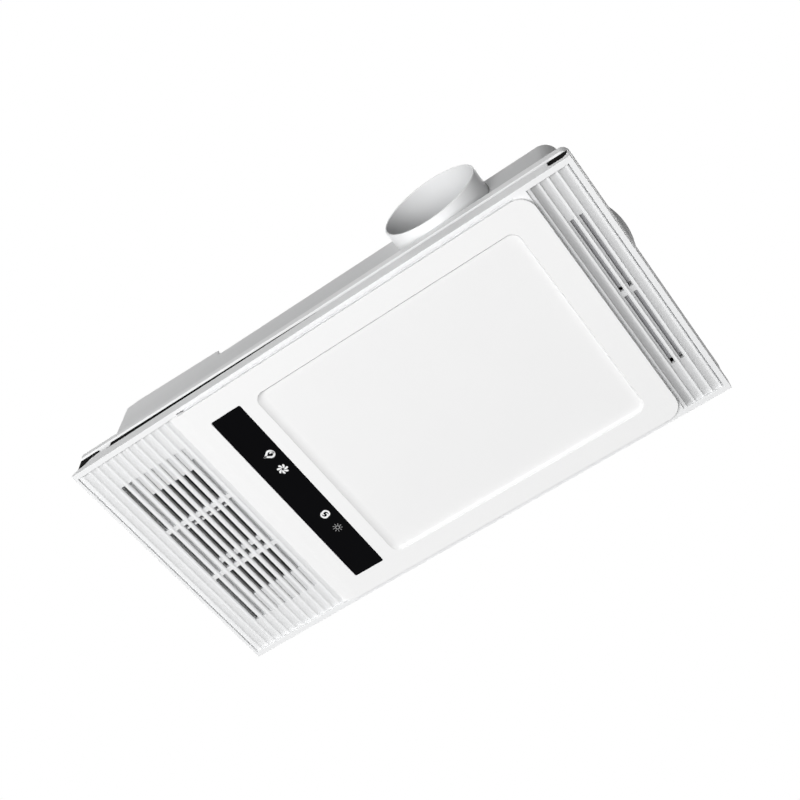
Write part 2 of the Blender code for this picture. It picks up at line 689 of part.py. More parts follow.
def spring_clips():
    """Upright spring strips on feet, which slide in the frame's slots."""
    for i, (x, side) in enumerate(clip_places(), 1):
        foot_base = PANEL_BACK + GAP
        across = (x - CLIP_WIDTH / 2, x + CLIP_WIDTH / 2)
        outer = side * (CLIP_Y + CLIP_THICKNESS / 2)
        inner = side * (CLIP_Y - CLIP_THICKNESS / 2)
        foot_end = side * (CLIP_Y - CLIP_FOOT)
        strip = block(across, sorted((inner, outer)), (foot_base, CLIP_REACH))
        foot = block(across, sorted((foot_end, outer)), (foot_base, foot_base + CLIP_THICKNESS))
        named(fused(strip, foot), f"spring_clip_{i}", "bright_steel")


# Frame and housing

def mounting_frame():
    """The ring that lies on the ceiling grid, with an upright lip all round."""
    low = (-HALF_LENGTH + FRAME_INSET, -HALF_WIDTH + FRAME_INSET)
    high = (HALF_LENGTH - FRAME_INSET, HALF_WIDTH - FRAME_INSET)
    outer = prism(rounded(low, high, (FRAME_RADIUS,) * 4), "Z", 0, FRAME_HEIGHT)
    low = (low[0] + SHEET, low[1] + SHEET)
    high = (high[0] - SHEET, high[1] - SHEET)
    inner = prism(rounded(low, high, (FRAME_RADIUS - SHEET,) * 4), "Z", SHEET, FRAME_HEIGHT + OVERRUN)
    opening = block(
        both(HALF_LENGTH - FRAME_OPENING_END), both(HALF_WIDTH - FRAME_OPENING_SIDE), (-OVERRUN, OVERRUN)
    )
    clip_slots = [
        (
            (x - CLIP_WIDTH / 2 - GAP, x + CLIP_WIDTH / 2 + GAP),
            (side * CLIP_Y - CLIP_SLOT_WIDTH / 2, side * CLIP_Y + CLIP_SLOT_WIDTH / 2),
            (-OVERRUN, OVERRUN),
        )
        for x, side in clip_places()
    ]
    carved(outer, inner, opening, blocks(clip_slots))
    return named(outer, "mounting_frame", "painted_steel", smooth=35)


def housing_side(inset):
    """The housing's outline seen from its long side, moved in by the inset at the walls and the roof."""
    left = HOUSING_LEFT + inset
    step = RAISED_END - inset
    low_roof = HOUSING_HEIGHT - inset
    base = HOUSING_BASE if inset == 0 else -OVERRUN
    return [
        (left, base),
        (left + HOUSING_LEFT_SLANT, RAISED_HEIGHT_LEFT - HOUSING_CHAMFER_DROP - inset),
        (left + HOUSING_LEFT_SLANT + HOUSING_LEFT_CHAMFER, RAISED_HEIGHT_LEFT - inset),
        (step - STEP_SLANT, RAISED_HEIGHT_RIGHT - inset),
        (step, low_roof),
        (HOUSING_RIGHT - inset, low_roof),
        (HOUSING_RIGHT - inset, base),
    ]


def housing_solid(inset):
    """The housing's space as one solid.

    It is the side outline trimmed to the plan, plus the fan's bulge and the duct's dome.
    """
    reach = HOUSING_REACH - inset
    base = HOUSING_BASE if inset == 0 else -OVERRUN
    body = prism(housing_side(inset), "Y", -reach, reach)
    corners = [HOUSING_LEFT_CORNER, HOUSING_CORNER, HOUSING_CORNER, HOUSING_LEFT_CORNER]
    radii = [max(corner - inset, GAP) for corner in corners]
    plan = rounded((HOUSING_LEFT + inset, -reach), (HOUSING_RIGHT - inset, reach), radii, 5)
    trimmed(body, prism(plan, "Z", base - OVERRUN, HOUSING_HEIGHT + RAISED_HEIGHT_LEFT))
    bulge = rod("Z", (FAN_X, FAN_Y), BULGE_RADIUS - inset, base, HOUSING_HEIGHT - inset, WIDE_STEPS)
    front = -reach
    back = -HOUSING_REACH + HOOD_BACK - inset
    radius = COLLAR_RADIUS + COLLAR_SHOULDER - inset
    dome = rod("Y", (COLLAR_X, COLLAR_HEIGHT), radius, front, back, WIDE_STEPS)
    return fused(body, bulge, dome)


def main_housing():
    """The body above the frame: folded sheet, open below, with holes for the collar and the cable gland."""
    shell = carved(housing_solid(0), housing_solid(SHEET))
    front = -HOUSING_REACH
    collar_hole = rod(
        "Y", (COLLAR_X, COLLAR_HEIGHT), COLLAR_RADIUS + GAP, front - OVERRUN, front + OVERRUN, WIDE_STEPS
    )
    gland_hole = rod(
        "Y",
        (GLAND_X, GLAND_Z),
        GLAND_THREAD_RADIUS + GAP,
        HOUSING_REACH - OVERRUN,
        HOUSING_REACH + OVERRUN,
        SMALL_STEPS,
    )
    return named(carved(shell, collar_hole, gland_hole), "main_housing", "painted_steel", smooth=35)


# Outlet collar and backflow flaps

def outlet_collar():
    """The duct collar with its seating ring inside the wall and the upright spindle of the flaps."""
    bore = COLLAR_RADIUS - COLLAR_WALL
    inner_end = COLLAR_INNER_END
    ring_start = -HOUSING_REACH + SHEET + GAP
    ring_radius = COLLAR_RADIUS + COLLAR_RING_PROUD
    profile = [
        (bore, COLLAR_MOUTH),
        (COLLAR_RADIUS, COLLAR_MOUTH),
        (COLLAR_RADIUS, ring_start),
        (ring_radius, ring_start),
        (ring_radius, ring_start + COLLAR_RING),
        (COLLAR_RADIUS, ring_start + COLLAR_RING),
        (COLLAR_RADIUS, inner_end),
        (bore, inner_end),
    ]
    tube = turned(profile, "Y", (COLLAR_X, COLLAR_HEIGHT), WIDE_STEPS)
    reach = bore + COLLAR_WALL / 2
    spindle = rod(
        "Z", (COLLAR_X, FLAP_Y), SPINDLE_RADIUS, COLLAR_HEIGHT - reach, COLLAR_HEIGHT + reach, SMALL_STEPS
    )
    return named(fused(tube, spindle), "outlet_collar", "white_plastic", smooth=35)


def backflow_flap(name, side, heights):
    """A half disc on sleeves that turn on the spindle; side is -1 for the left one and 1 for the right."""
    radius = COLLAR_RADIUS - COLLAR_WALL - FLAP_RIM_GAP
    sleeve = SPINDLE_RADIUS + PIVOT_GAP + SLEEVE_WALL
    start = math.degrees(math.asin((sleeve + GAP) / radius))
    half = [(side * v, u) for u, v in arc((0, 0), radius, start, 180 - start, ROUND_STEPS)]
    half = [(COLLAR_X + u, COLLAR_HEIGHT + v) for u, v in half]
    plate = prism(half, "Y", FLAP_Y - FLAP_THICKNESS / 2, FLAP_Y + FLAP_THICKNESS / 2)
    sleeves = []
    for height in heights:
        low = COLLAR_HEIGHT + height - SLEEVE_LENGTH / 2
        tube = rod("Z", (COLLAR_X, FLAP_Y), sleeve, low, low + SLEEVE_LENGTH, SMALL_STEPS)
        lug_x = sorted((COLLAR_X + side * SPINDLE_RADIUS, COLLAR_X + side * (sleeve + SLEEVE_LENGTH / 2)))
        lug_y = (FLAP_Y - FLAP_THICKNESS / 2, FLAP_Y + FLAP_THICKNESS / 2)
        sleeves += [tube, block(lug_x, lug_y, (low, low + SLEEVE_LENGTH))]
    fused(plate, *sleeves)
    bore = SPINDLE_RADIUS + PIVOT_GAP
    low, high = COLLAR_HEIGHT - radius, COLLAR_HEIGHT + radius
    carved(plate, rod("Z", (COLLAR_X, FLAP_Y), bore, low - OVERRUN, high + OVERRUN, SMALL_STEPS))
    return named(plate, name, "grey_plastic", pivot=(COLLAR_X, FLAP_Y, COLLAR_HEIGHT))


def backflow_flaps():
    """The two flaps, whose sleeves take turns along the spindle."""
    step = SLEEVE_LENGTH + GAP
    backflow_flap("backflow_flap_left", -1, (-2.5 * step, 0.5 * step))
    backflow_flap("backflow_flap_right", 1, (-1.5 * step, 1.5 * step))


# Fan

def scroll_outline(inset):
    """The fan scroll in plan: a spiral that widens clockwise and leaves along -X on the collar's side."""
    points = []
    for i in range(ROUND_STEPS + 1):
        turn = 270 * i / ROUND_STEPS
        radius = SCROLL_START_RADIUS + (SCROLL_END_RADIUS - SCROLL_START_RADIUS) * i / ROUND_STEPS - inset
        angle = math.radians(180 - turn)
        points.append((FAN_X + radius * math.cos(angle), FAN_Y + radius * math.sin(angle)))
    end = FAN_X - SCROLL_OUTLET_END - (OVERRUN if inset else 0)
    points.append((end, CHANNEL_FRONT + inset))
    points.append((end, CHANNEL_BACK - inset))
    points.append((FAN_X - SCROLL_TONGUE, CHANNEL_BACK - inset))
    return points


def fan_housing():
    """The scroll, open at its outlet, with the inlet below and the motor's hole above, and its inlet ring."""
    scroll = prism(scroll_outline(0), "Z", SCROLL_BASE, SCROLL_TOP)
    inside = prism(scroll_outline(MOULDING), "Z", SCROLL_BASE + MOULDING, SCROLL_TOP - MOULDING)
    centre = (FAN_X, FAN_Y)
    inlet = rod("Z", centre, INLET_RADIUS + GAP, SCROLL_BASE - OVERRUN, SCROLL_BASE + OVERRUN, ROUND_STEPS)
    shaft_hole = rod("Z", centre, HUB_RADIUS, SCROLL_TOP - OVERRUN, SCROLL_TOP + OVERRUN, ROUND_STEPS)
    named(carved(scroll, inside, inlet, shaft_hole), "scroll_housing", "dark_plastic", smooth=35)
    lip = INLET_RADIUS + INLET_LIP
    base = SCROLL_BASE - GAP
    bore = INLET_RADIUS - MOULDING
    profile = [
        (lip, base - MOULDING),
        (lip, base),
        (INLET_RADIUS, base),
        (INLET_RADIUS, base + INLET_DEPTH),
        (bore, base + INLET_DEPTH),
        (bore, base),
        (INLET_RADIUS, base - MOULDING),
    ]
    named(turned(profile, "Z", centre), "inlet_ring", "white_plastic", smooth=35)


def impeller():
    """The fan wheel: a plate at the motor's end, upright blades and a ring at the inlet."""
    centre = (FAN_X, FAN_Y)
    middle = (SCROLL_BASE + SCROLL_TOP) / 2
    half = SCROLL_HEIGHT * IMPELLER_SHARE_OF_SCROLL / 2
    low, high = middle - half, middle + half
    inner = IMPELLER_RADIUS - IMPELLER_BLADE
    wheel = rod("Z", centre, IMPELLER_RADIUS, high - IMPELLER_PLATE, high, WIDE_STEPS)
    ring = [
        (inner + IMPELLER_BLADE / 2, low),
        (IMPELLER_RADIUS, low),
        (IMPELLER_RADIUS, low + IMPELLER_PLATE),
        (inner + IMPELLER_BLADE / 2, low + IMPELLER_PLATE),
    ]
    fused(wheel, turned(ring, "Z", centre, WIDE_STEPS), fan_blades(centre, inner, low, high))
    fused(wheel, rod("Z", centre, HUB_RADIUS, high - HUB_HEIGHT, high, ROUND_STEPS))
    carved(wheel, rod("Z", centre, SHAFT_RADIUS + GAP, low, high + OVERRUN, SMALL_STEPS))
    return named(wheel, "impeller", "dark_plastic", smooth=35, pivot=(FAN_X, FAN_Y, middle))


def fan_blades(centre, inner, low, high):
    """All blades as one mesh, each leaning back from the radius."""
    bm = bmesh.new()
    lean = math.radians(35)
    outer = IMPELLER_RADIUS - BLADE_THICKNESS
    for i in range(BLADE_COUNT):
        angle = 2 * math.pi * i / BLADE_COUNT
        root = Vector((inner * math.cos(angle), inner * math.sin(angle)))
        sweep = angle + lean * IMPELLER_BLADE / inner
        tip = Vector((outer * math.cos(sweep), outer * math.sin(sweep)))
        across = (tip - root).normalized()
        side = Vector((-across.y, across.x)) * BLADE_THICKNESS / 2
        corners = [root - side, tip - side, tip + side, root + side]
        rings = [
            [bm.verts.new((centre[0] + p.x, centre[1] + p.y, z)) for p in corners]
            for z in (low + IMPELLER_PLATE / 2, high - IMPELLER_PLATE / 2)
        ]
        bm.faces.new(rings[0])
        bm.faces.new(rings[1])
        for j in range(4):
            k = (j + 1) % 4
            bm.faces.new((rings[0][j], rings[0][k], rings[1][k], rings[1][j]))
    return solid_from(bm)


def fan_motor():
    """The motor on the scroll's lid: a cup under the roof, the stator ring and the rotor with its shaft."""
    centre = (FAN_X, FAN_Y)
    base = SCROLL_TOP + GAP
    top = ROOF_UNDERSIDE - GAP
    bore = MOTOR_RADIUS - SHEET
    hole = SHAFT_RADIUS + SHAFT_GAP
    cup = [
        (bore, base),
        (MOTOR_RADIUS + MOTOR_FLANGE, base),
        (MOTOR_RADIUS + MOTOR_FLANGE, base + SHEET),
        (MOTOR_RADIUS, base + SHEET),
        (MOTOR_RADIUS, top),
        (hole, top),
        (hole, top - SHEET),
        (bore, top - SHEET),
    ]
    case = turned(cup, "Z", centre)
    screw_ring = MOTOR_RADIUS + MOTOR_FLANGE / 2
    places = circle(centre, screw_ring, MOTOR_SCREWS)
    low, high = base - OVERRUN, base + OVERRUN
    carved(case, *[rod("Z", place, SCREW_RADIUS + GAP, low, high, SCREW_SIDES) for place in places])
    named(case, "motor_case", "zinc_steel", smooth=35)
    motor_screws(places, base)
    stator_bore = bore - GAP - STATOR_THICKNESS
    stator_base = (base + top - STATOR_HEIGHT) / 2
    stator_top = stator_base + STATOR_HEIGHT
    ring = [
        (stator_bore, stator_base),
        (bore - GAP, stator_base),
        (bore - GAP, stator_top),
        (stator_bore, stator_top),
    ]
    named(turned(ring, "Z", centre), "motor_stator", "winding_steel", smooth=35)
    rotor = rod("Z", centre, stator_bore - ROTOR_GAP, stator_base, stator_top, ROUND_STEPS)
    hub_base = (SCROLL_BASE + SCROLL_TOP) / 2 + SCROLL_HEIGHT * IMPELLER_SHARE_OF_SCROLL / 2 - HUB_HEIGHT
    fused(rotor, rod("Z", centre, SHAFT_RADIUS, hub_base, top, SMALL_STEPS))
    named(rotor, "motor_rotor", "bright_steel", smooth=35, pivot=(FAN_X, FAN_Y, stator_base))


def motor_screws(places, base):
    """The screws that hold the motor's flange on the scroll's lid."""
    for i, place in enumerate(places, 1):
        head = base + SHEET + GAP
        screw = rod("Z", place, SCREW_HEAD_RADIUS, head, head + SCREW_HEAD, SCREW_SIDES)
        fused(screw, rod("Z", place, SCREW_RADIUS, base, head + SCREW_HEAD / 2, SCREW_SIDES))
        named(screw, f"motor_screw_{i}", "bright_steel")


# Air duct and diverter damper

def duct_outline(inset):
    """The duct in plan: straight past the damper, then widening to the heater hood."""
    reach = HOOD_REACH - SHEET - GAP - inset
    run = OVERRUN if inset else 0
    start = DUCT_START + run
    end = HOOD_RIGHT + GAP - run
    bend = DUCT_START - DUCT_BEND
    front = CHANNEL_FRONT + inset
    return [
        (start, front),
        (start, CHANNEL_BACK - inset),
        (bend, CHANNEL_BACK - inset),
        (end, reach),
        (end, -reach),
        (bend, front),
    ]


def air_duct():
    """The duct from the scroll to the hood, with the exhaust window in its front wall."""
    duct = prism(duct_outline(0), "Z", SCROLL_BASE + MOULDING, SCROLL_TOP)
    inner = (SCROLL_BASE + 2 * MOULDING, SCROLL_TOP - MOULDING)
    window = block(
        (DAMPER_X + DUCT_WINDOW_START, DAMPER_X + DAMPER_LENGTH - DUCT_WINDOW_START),
        (CHANNEL_FRONT - OVERRUN, CHANNEL_FRONT + MOULDING + GAP),
        (inner[0] + DUCT_WINDOW_EDGE, inner[1] - DUCT_WINDOW_EDGE),
    )
    shaft_hole = rod(
        "Z",
        (DAMPER_X, DAMPER_Y),
        DAMPER_SHAFT_RADIUS + PIVOT_GAP,
        SCROLL_TOP - OVERRUN,
        SCROLL_TOP + OVERRUN,
        SMALL_STEPS,
    )
    carved(duct, prism(duct_outline(MOULDING), "Z", *inner), window, shaft_hole)
    return named(duct, "air_duct", "white_plastic")


def damper():
    """The diverter flap on its upright shaft, its motor on the duct and the baffle beside it."""
    low = SCROLL_BASE + 2 * MOULDING + GAP
    high = SCROLL_TOP - MOULDING - GAP
    flap = block(
        (DAMPER_X, DAMPER_X + DAMPER_LENGTH),
        (DAMPER_Y - DAMPER_THICKNESS / 2, DAMPER_Y + DAMPER_THICKNESS / 2),
        (low, high),
    )
    motor_base = SCROLL_TOP + GAP
    shaft_top = motor_base + DAMPER_MOTOR_HEIGHT / 2
    fused(flap, rod("Z", (DAMPER_X, DAMPER_Y), DAMPER_SHAFT_RADIUS, low, shaft_top, SMALL_STEPS))
    named(flap, "damper_flap", "white_plastic", pivot=(DAMPER_X, DAMPER_Y, low))
    motor = rod(
        "Z", (DAMPER_X, DAMPER_Y), DAMPER_MOTOR_RADIUS, motor_base, motor_base + DAMPER_MOTOR_HEIGHT
    )
    socket = rod(
        "Z",
        (DAMPER_X, DAMPER_Y),
        DAMPER_SHAFT_RADIUS + PIVOT_GAP,
        motor_base - OVERRUN,
        shaft_top + GAP,
        SMALL_STEPS,
    )
    named(carved(motor, socket), "damper_motor", "zinc_steel", smooth=35)
    baffle_x = DAMPER_X - DAMPER_MOTOR_RADIUS - BAFFLE_FROM_MOTOR - SHEET
    baffle = block(
        (baffle_x, baffle_x + SHEET),
        (-HOUSING_REACH + SHEET + GAP, CHANNEL_FRONT - GAP),
        (HOUSING_BASE, ROOF_UNDERSIDE - GAP),
    )
    named(baffle, "exhaust_baffle", "zinc_steel")


# Heater

def heater_hood():
    """The chamber over the louvre: open below over the vanes and at the side towards the duct."""
    across = (HOOD_LEFT, HOOD_RIGHT)
    hood = block(across, both(HOOD_REACH), (HOOD_BASE, HOOD_HEIGHT))
    inside = block(
        (across[0] + SHEET, across[1] - SHEET),
        both(HOOD_REACH - SHEET),
        (HOOD_BASE + SHEET, HOOD_HEIGHT - SHEET),
    )
    mouth = block(
        (LOUVRE_INNER_LEFT, LOUVRE_INNER_RIGHT),
        both(LOUVRE_INNER_REACH),
        (HOOD_BASE - OVERRUN, HOOD_BASE + SHEET + GAP),
    )
    window = block(
        (across[1] - SHEET - GAP, across[1] + OVERRUN),
        both(HOOD_REACH - SHEET - GAP - MOULDING),
        (SCROLL_BASE + 2 * MOULDING, SCROLL_TOP - MOULDING),
    )
    return named(carved(hood, inside, mouth, window), "heater_hood", "zinc_steel")


def heater():
    """Finned heating elements, stacked in a frame across the duct's outlet."""
    right = HOOD_RIGHT - SHEET - ELEMENT_FROM_WINDOW
    across = (right - ELEMENT_DEPTH, right)
    low = HOOD_BASE + SHEET + GAP
    high = SCROLL_TOP
    reach = HOOD_REACH - SHEET - GAP
    inner_reach = reach - HEATER_FRAME_END
    inner_low, inner_high = low + HEATER_FRAME_WALL, high - HEATER_FRAME_WALL
    frame = block(across, both(reach), (low, high))
    carved(
        frame,
        block((across[0] - OVERRUN, across[1] + OVERRUN), both(inner_reach), (inner_low, inner_high)),
    )
    named(frame, "heater_frame", "dark_plastic")
    height = (inner_high - inner_low - GAP) / ELEMENT_COUNT
    for i in range(ELEMENT_COUNT):
        base = inner_low + GAP + i * height
        outline = finned_outline(inner_reach - GAP, base, base + height - GAP)
        named(prism(outline, "X", *across), f"heating_element_{i + 1}", "aluminium")


def finned_outline(reach, low, high):
    """A heating element seen along the air's way: a core with fins above and below."""
    core_low = (low + high - ELEMENT_CORE) / 2
    core_high = core_low + ELEMENT_CORE
    pitch = 2 * reach / (ELEMENT_FINS - 1 + FIN_SHARE)
    fin = pitch * FIN_SHARE
    below, above = [], []
    for i in range(ELEMENT_FINS):
        start = -reach + i * pitch
        below += [(start, low), (start + fin, low)]
        above += [(start, high), (start + fin, high)]
        if i < ELEMENT_FINS - 1:
            below += [(start + fin, core_low), (start + pitch, core_low)]
            above += [(start + fin, core_high), (start + pitch, core_high)]
    return below + above[::-1]


# Louvre

def vane_x(index):
    """The place of a vane's axle, counted from the display end's far side."""
    return LOUVRE_MIDDLE + (index - (VANE_COUNT - 1) / 2) * VANE_PITCH


def louvre_frame():
    """The outlet frame behind the grille: face plate, crossbars, upright walls with bearings, flange."""
    face = (-LOUVRE_FACE_DEPTH, -LOUVRE_FACE_DEPTH + LOUVRE_PLATE)
    border = (LOUVRE_LEFT - LOUVRE_PLATE_BORDER, LOUVRE_RIGHT + LOUVRE_PLATE_BORDER)
    frame = block(border, both(LOUVRE_PLATE_REACH), face)
    outer = (LOUVRE_INNER_LEFT - LOUVRE_WALL, LOUVRE_INNER_RIGHT + LOUVRE_WALL)
    walls = block(outer, both(LOUVRE_OUTER_REACH), (face[0] + LOUVRE_PLATE / 2, LOUVRE_TOP))
    flange = block(
        (outer[0] - LOUVRE_FLANGE, outer[1]),
        both(HALF_WIDTH - FRAME_OPENING_SIDE + LOUVRE_FLANGE / 3),
        (HOUSING_BASE, HOUSING_BASE + SHEET),
    )
    fused(frame, walls, flange)
    well = block(
        (LOUVRE_INNER_LEFT, LOUVRE_INNER_RIGHT), both(LOUVRE_INNER_REACH), (face[1], LOUVRE_TOP + OVERRUN)
    )
    bay = (2 * LOUVRE_OPENING_REACH - (LOUVRE_BAYS - 1) * LOUVRE_CROSSBAR) / LOUVRE_BAYS
    bays = []
    for i in range(LOUVRE_BAYS):
        start = -LOUVRE_OPENING_REACH + i * (bay + LOUVRE_CROSSBAR)
        bays.append(((LOUVRE_LEFT, LOUVRE_RIGHT), (start, start + bay), (face[0] - OVERRUN, OVERRUN)))
    carved(frame, well, blocks(bays), *linkage_room())
    for i in range(VANE_COUNT):
        hole = VANE_AXLE_RADIUS + PIVOT_GAP
        ends = both(LOUVRE_OUTER_REACH + OVERRUN)
        carved(frame, rod("Y", (vane_x(i), VANE_AXIS_HEIGHT), hole, *ends, SMALL_STEPS))
    return named(frame, "louvre_frame", "white_plastic")


def linkage_room():
    """Cut-outs in the flange beside the cranks and the vane motor."""
    room_x = (vane_x(0) - VANE_MOTOR_RADIUS - 2 * GAP, LOUVRE_INNER_RIGHT + LOUVRE_WALL + GAP)
    flange_z = (HOUSING_BASE - OVERRUN / 2, HOUSING_BASE + SHEET + OVERRUN / 2)
    far = LOUVRE_OUTER_REACH + CRANK_THICKNESS + CRANK_PIN + MOULDING
    motor_far = LOUVRE_OUTER_REACH + VANE_MOTOR_LENGTH + MOULDING
    flange_floor = max(flange_z[0], -LOUVRE_FACE_DEPTH + LOUVRE_PLATE)
    height = (flange_floor, flange_z[1])
    return [
        block(room_x, (-far, -LOUVRE_OUTER_REACH), height),
        block(room_x, (LOUVRE_OUTER_REACH, motor_far), height),
    ]


def vanes():
    """The swing vanes, each with its axle, crank and crank pin in one piece."""
    half = LOUVRE_INNER_REACH - GAP
    for i in range(VANE_COUNT):
        x = vane_x(i)
        z = VANE_AXIS_HEIGHT
        blade = block(
            (x - VANE_THICKNESS / 2, x + VANE_THICKNESS / 2),
            both(half),
            (z - VANE_CHORD / 2, z + VANE_CHORD / 2),
        )
        far = LOUVRE_OUTER_REACH + (VANE_MOTOR_GRIP if i == 0 else -GAP)
        axle = rod("Y", (x, z), VANE_AXLE_RADIUS, CRANK_Y, far, SMALL_STEPS)
        arm = block(
            (x - CRANK_WIDTH / 2, x + CRANK_WIDTH / 2),
            (CRANK_Y, CRANK_Y + CRANK_THICKNESS),
            (z - CRANK_WIDTH / 2, z + CRANK_THROW + CRANK_WIDTH / 2),
        )
        pin = rod(
            "Y",
            (x, z + CRANK_THROW),
            VANE_AXLE_RADIUS,
            CRANK_Y - CRANK_PIN,
            CRANK_Y + CRANK_THICKNESS / 2,
            SMALL_STEPS,
        )
        named(fused(blade, axle, arm, pin), f"vane_{i + 1}", "white_plastic", pivot=(x, 0, z))


def vane_link():
    """The bar that joins the crank pins, with a clear hole for each."""
    z = VANE_AXIS_HEIGHT + CRANK_THROW
    high = CRANK_Y - GAP
    bar = block(
        (vane_x(0) - LINK_END, vane_x(VANE_COUNT - 1) + LINK_END),
        (high - LINK_THICKNESS, high),
        (z - LINK_WIDTH / 2, z + LINK_WIDTH / 2),
    )
    hole = VANE_AXLE_RADIUS + PIVOT_GAP
    low = high - LINK_THICKNESS
    for i in range(VANE_COUNT):
        carved(bar, rod("Y", (vane_x(i), z), hole, low - OVERRUN, high + OVERRUN, SMALL_STEPS))
    return named(bar, "vane_link", "grey_plastic", pivot=(vane_x(0), high, z))


def vane_motor():
    """The small stepping motor on the first vane's axle."""
    start = LOUVRE_OUTER_REACH + GAP
    centre = (vane_x(0), VANE_AXIS_HEIGHT)
    can = rod("Y", centre, VANE_MOTOR_RADIUS, start, start + VANE_MOTOR_LENGTH)
    hole = VANE_AXLE_RADIUS + PIVOT_GAP
    carved(can, rod("Y", centre, hole, start - OVERRUN, start + VANE_MOTOR_GRIP + GAP, SMALL_STEPS))
    return named(can, "vane_motor", "zinc_steel", smooth=35)


# Control parts

def control_parts():
    """Control box with its lid under the roof, the motor's capacitor, and the supply terminals."""
    top = ROOF_UNDERSIDE - GAP
    base = SCROLL_TOP + CONTROL_BOX_OVER_DUCT
    across = (CONTROL_BOX_X, CONTROL_BOX_X + CONTROL_BOX_LENGTH)
    along = (CONTROL_BOX_Y, CONTROL_BOX_Y + CONTROL_BOX_WIDTH)
    box = block(across, along, (base, top))
    hollow = block(
        (across[0] + MOULDING, across[1] - MOULDING),
        (along[0] + MOULDING, along[1] - MOULDING),
        (base - OVERRUN, top - MOULDING),
    )
    named(carved(box, hollow), "control_box", "grey_plastic")
    lid = block(across, along, (base - GAP - MOULDING, base - GAP))
    named(lid, "control_box_lid", "grey_plastic")
    centre = (CAPACITOR_Y, top - CAPACITOR_RADIUS)
    can = rod("X", centre, CAPACITOR_RADIUS, CAPACITOR_X, CAPACITOR_X + CAPACITOR_LENGTH)
    named(can, "run_capacitor", "dark_plastic", smooth=35)
    terminal_block()
    cable_gland()


def terminal_block():
    """Supply terminals on the inside of the back wall, with a wire hole for each pole."""
    wall = HOUSING_REACH - SHEET - GAP
    body = block(
        (TERMINAL_X, TERMINAL_X + TERMINAL_LENGTH),
        (wall - TERMINAL_DEPTH, wall),
        (TERMINAL_Z, TERMINAL_Z + TERMINAL_HEIGHT),
    )
    pitch = TERMINAL_LENGTH / TERMINAL_POLES
    half = pitch * TERMINAL_HOLE_SHARE / 2
    middle = TERMINAL_Z + TERMINAL_HEIGHT / 2
    holes = []
    for i in range(TERMINAL_POLES):
        x = TERMINAL_X + (i + 0.5) * pitch
        depth = (wall - TERMINAL_DEPTH - OVERRUN, wall - TERMINAL_DEPTH / 2)
        holes.append(((x - half, x + half), depth, (middle - half, middle + half)))
    named(carved(body, blocks(holes)), "terminal_block", "white_plastic")


def cable_gland():
    """The gland where the supply cable would enter the back wall."""
    wall = HOUSING_REACH
    nut = wall + GAP
    end = nut + GLAND_LENGTH
    profile = [
        (GLAND_BORE_RADIUS, wall - GLAND_INSIDE),
        (GLAND_THREAD_RADIUS, wall - GLAND_INSIDE),
        (GLAND_THREAD_RADIUS, nut),
        (GLAND_NUT_RADIUS, nut),
        (GLAND_NUT_RADIUS, nut + GLAND_LENGTH * 2 / 3),
        (GLAND_THREAD_RADIUS, end),
        (GLAND_BORE_RADIUS, end),
    ]
    named(turned(profile, "Y", (GLAND_X, GLAND_Z), SMALL_STEPS), "cable_gland", "dark_plastic")


def clear_scene():
    for old in list(bpy.data.objects):
        bpy.data.objects.remove(old)


def main():
    clear_scene()
    face_panel()
    cover_plate()
    light_parts()
    display_parts()
    spring_clips()
    mounting_frame()
    main_housing()
    outlet_collar()
    backflow_flaps()
    fan_housing()
    impeller()
    fan_motor()
    air_duct()
    damper()
    heater_hood()
    heater()
    louvre_frame()
    vanes()
    vane_link()
    vane_motor()
    control_parts()


main()
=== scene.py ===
"""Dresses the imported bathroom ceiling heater: finer shapes, finishes, light and camera, as a Blender add-on.
All lengths are in metres, in the model's own frame: the face looks down, the duct collar stands out on -Y."""
import math

import bmesh
import bpy
from bpy.props import FloatProperty, FloatVectorProperty, IntProperty, PointerProperty
from mathutils import Matrix, Vector


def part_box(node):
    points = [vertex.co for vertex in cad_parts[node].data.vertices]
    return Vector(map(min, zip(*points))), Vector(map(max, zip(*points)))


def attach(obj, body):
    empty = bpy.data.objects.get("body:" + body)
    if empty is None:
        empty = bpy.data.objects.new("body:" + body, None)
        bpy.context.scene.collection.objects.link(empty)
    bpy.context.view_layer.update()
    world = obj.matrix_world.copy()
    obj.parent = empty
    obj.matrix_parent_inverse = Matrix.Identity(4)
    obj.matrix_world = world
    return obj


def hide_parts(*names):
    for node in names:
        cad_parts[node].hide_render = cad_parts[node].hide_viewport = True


bl_info = {
    "name": "Bathroom Ceiling Heater",
    "version": (1, 0, 0),
    "blender": (4, 5, 0),
    "location": "3D View > Sidebar > Heater",
    "description": "Builds the finished look of a 600 x 300 mm ceiling heater around its packed model",
    "category": "Object",
}

MM = 0.001
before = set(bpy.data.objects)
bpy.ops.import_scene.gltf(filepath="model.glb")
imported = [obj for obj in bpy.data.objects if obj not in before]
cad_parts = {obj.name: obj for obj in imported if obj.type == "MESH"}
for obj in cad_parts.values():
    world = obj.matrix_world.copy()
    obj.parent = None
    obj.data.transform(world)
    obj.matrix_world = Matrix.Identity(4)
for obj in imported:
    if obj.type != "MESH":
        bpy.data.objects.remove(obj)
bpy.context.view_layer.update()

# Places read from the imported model
PANEL_LOW, PANEL_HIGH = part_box("face_panel")
COVER_LOW, COVER_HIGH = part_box("cover_plate")
LIGHT_LOW, LIGHT_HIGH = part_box("light_diffuser")
STRIP_LOW, STRIP_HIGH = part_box("display_glass")
FRAME_LOW, FRAME_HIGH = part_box("mounting_frame")
BODY_LOW, BODY_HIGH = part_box("main_housing")
COLLAR_LOW, COLLAR_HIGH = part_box("outlet_collar")
ROOF = BODY_HIGH.z - 30.6 * MM
RIM_FACE = COVER_HIGH.z + 0.3 * MM
PANEL_BACK = RIM_FACE + 8 * MM
COLLAR_CENTRE = ((COLLAR_LOW.x + COLLAR_HIGH.x) / 2, (COLLAR_LOW.z + COLLAR_HIGH.z) / 2)

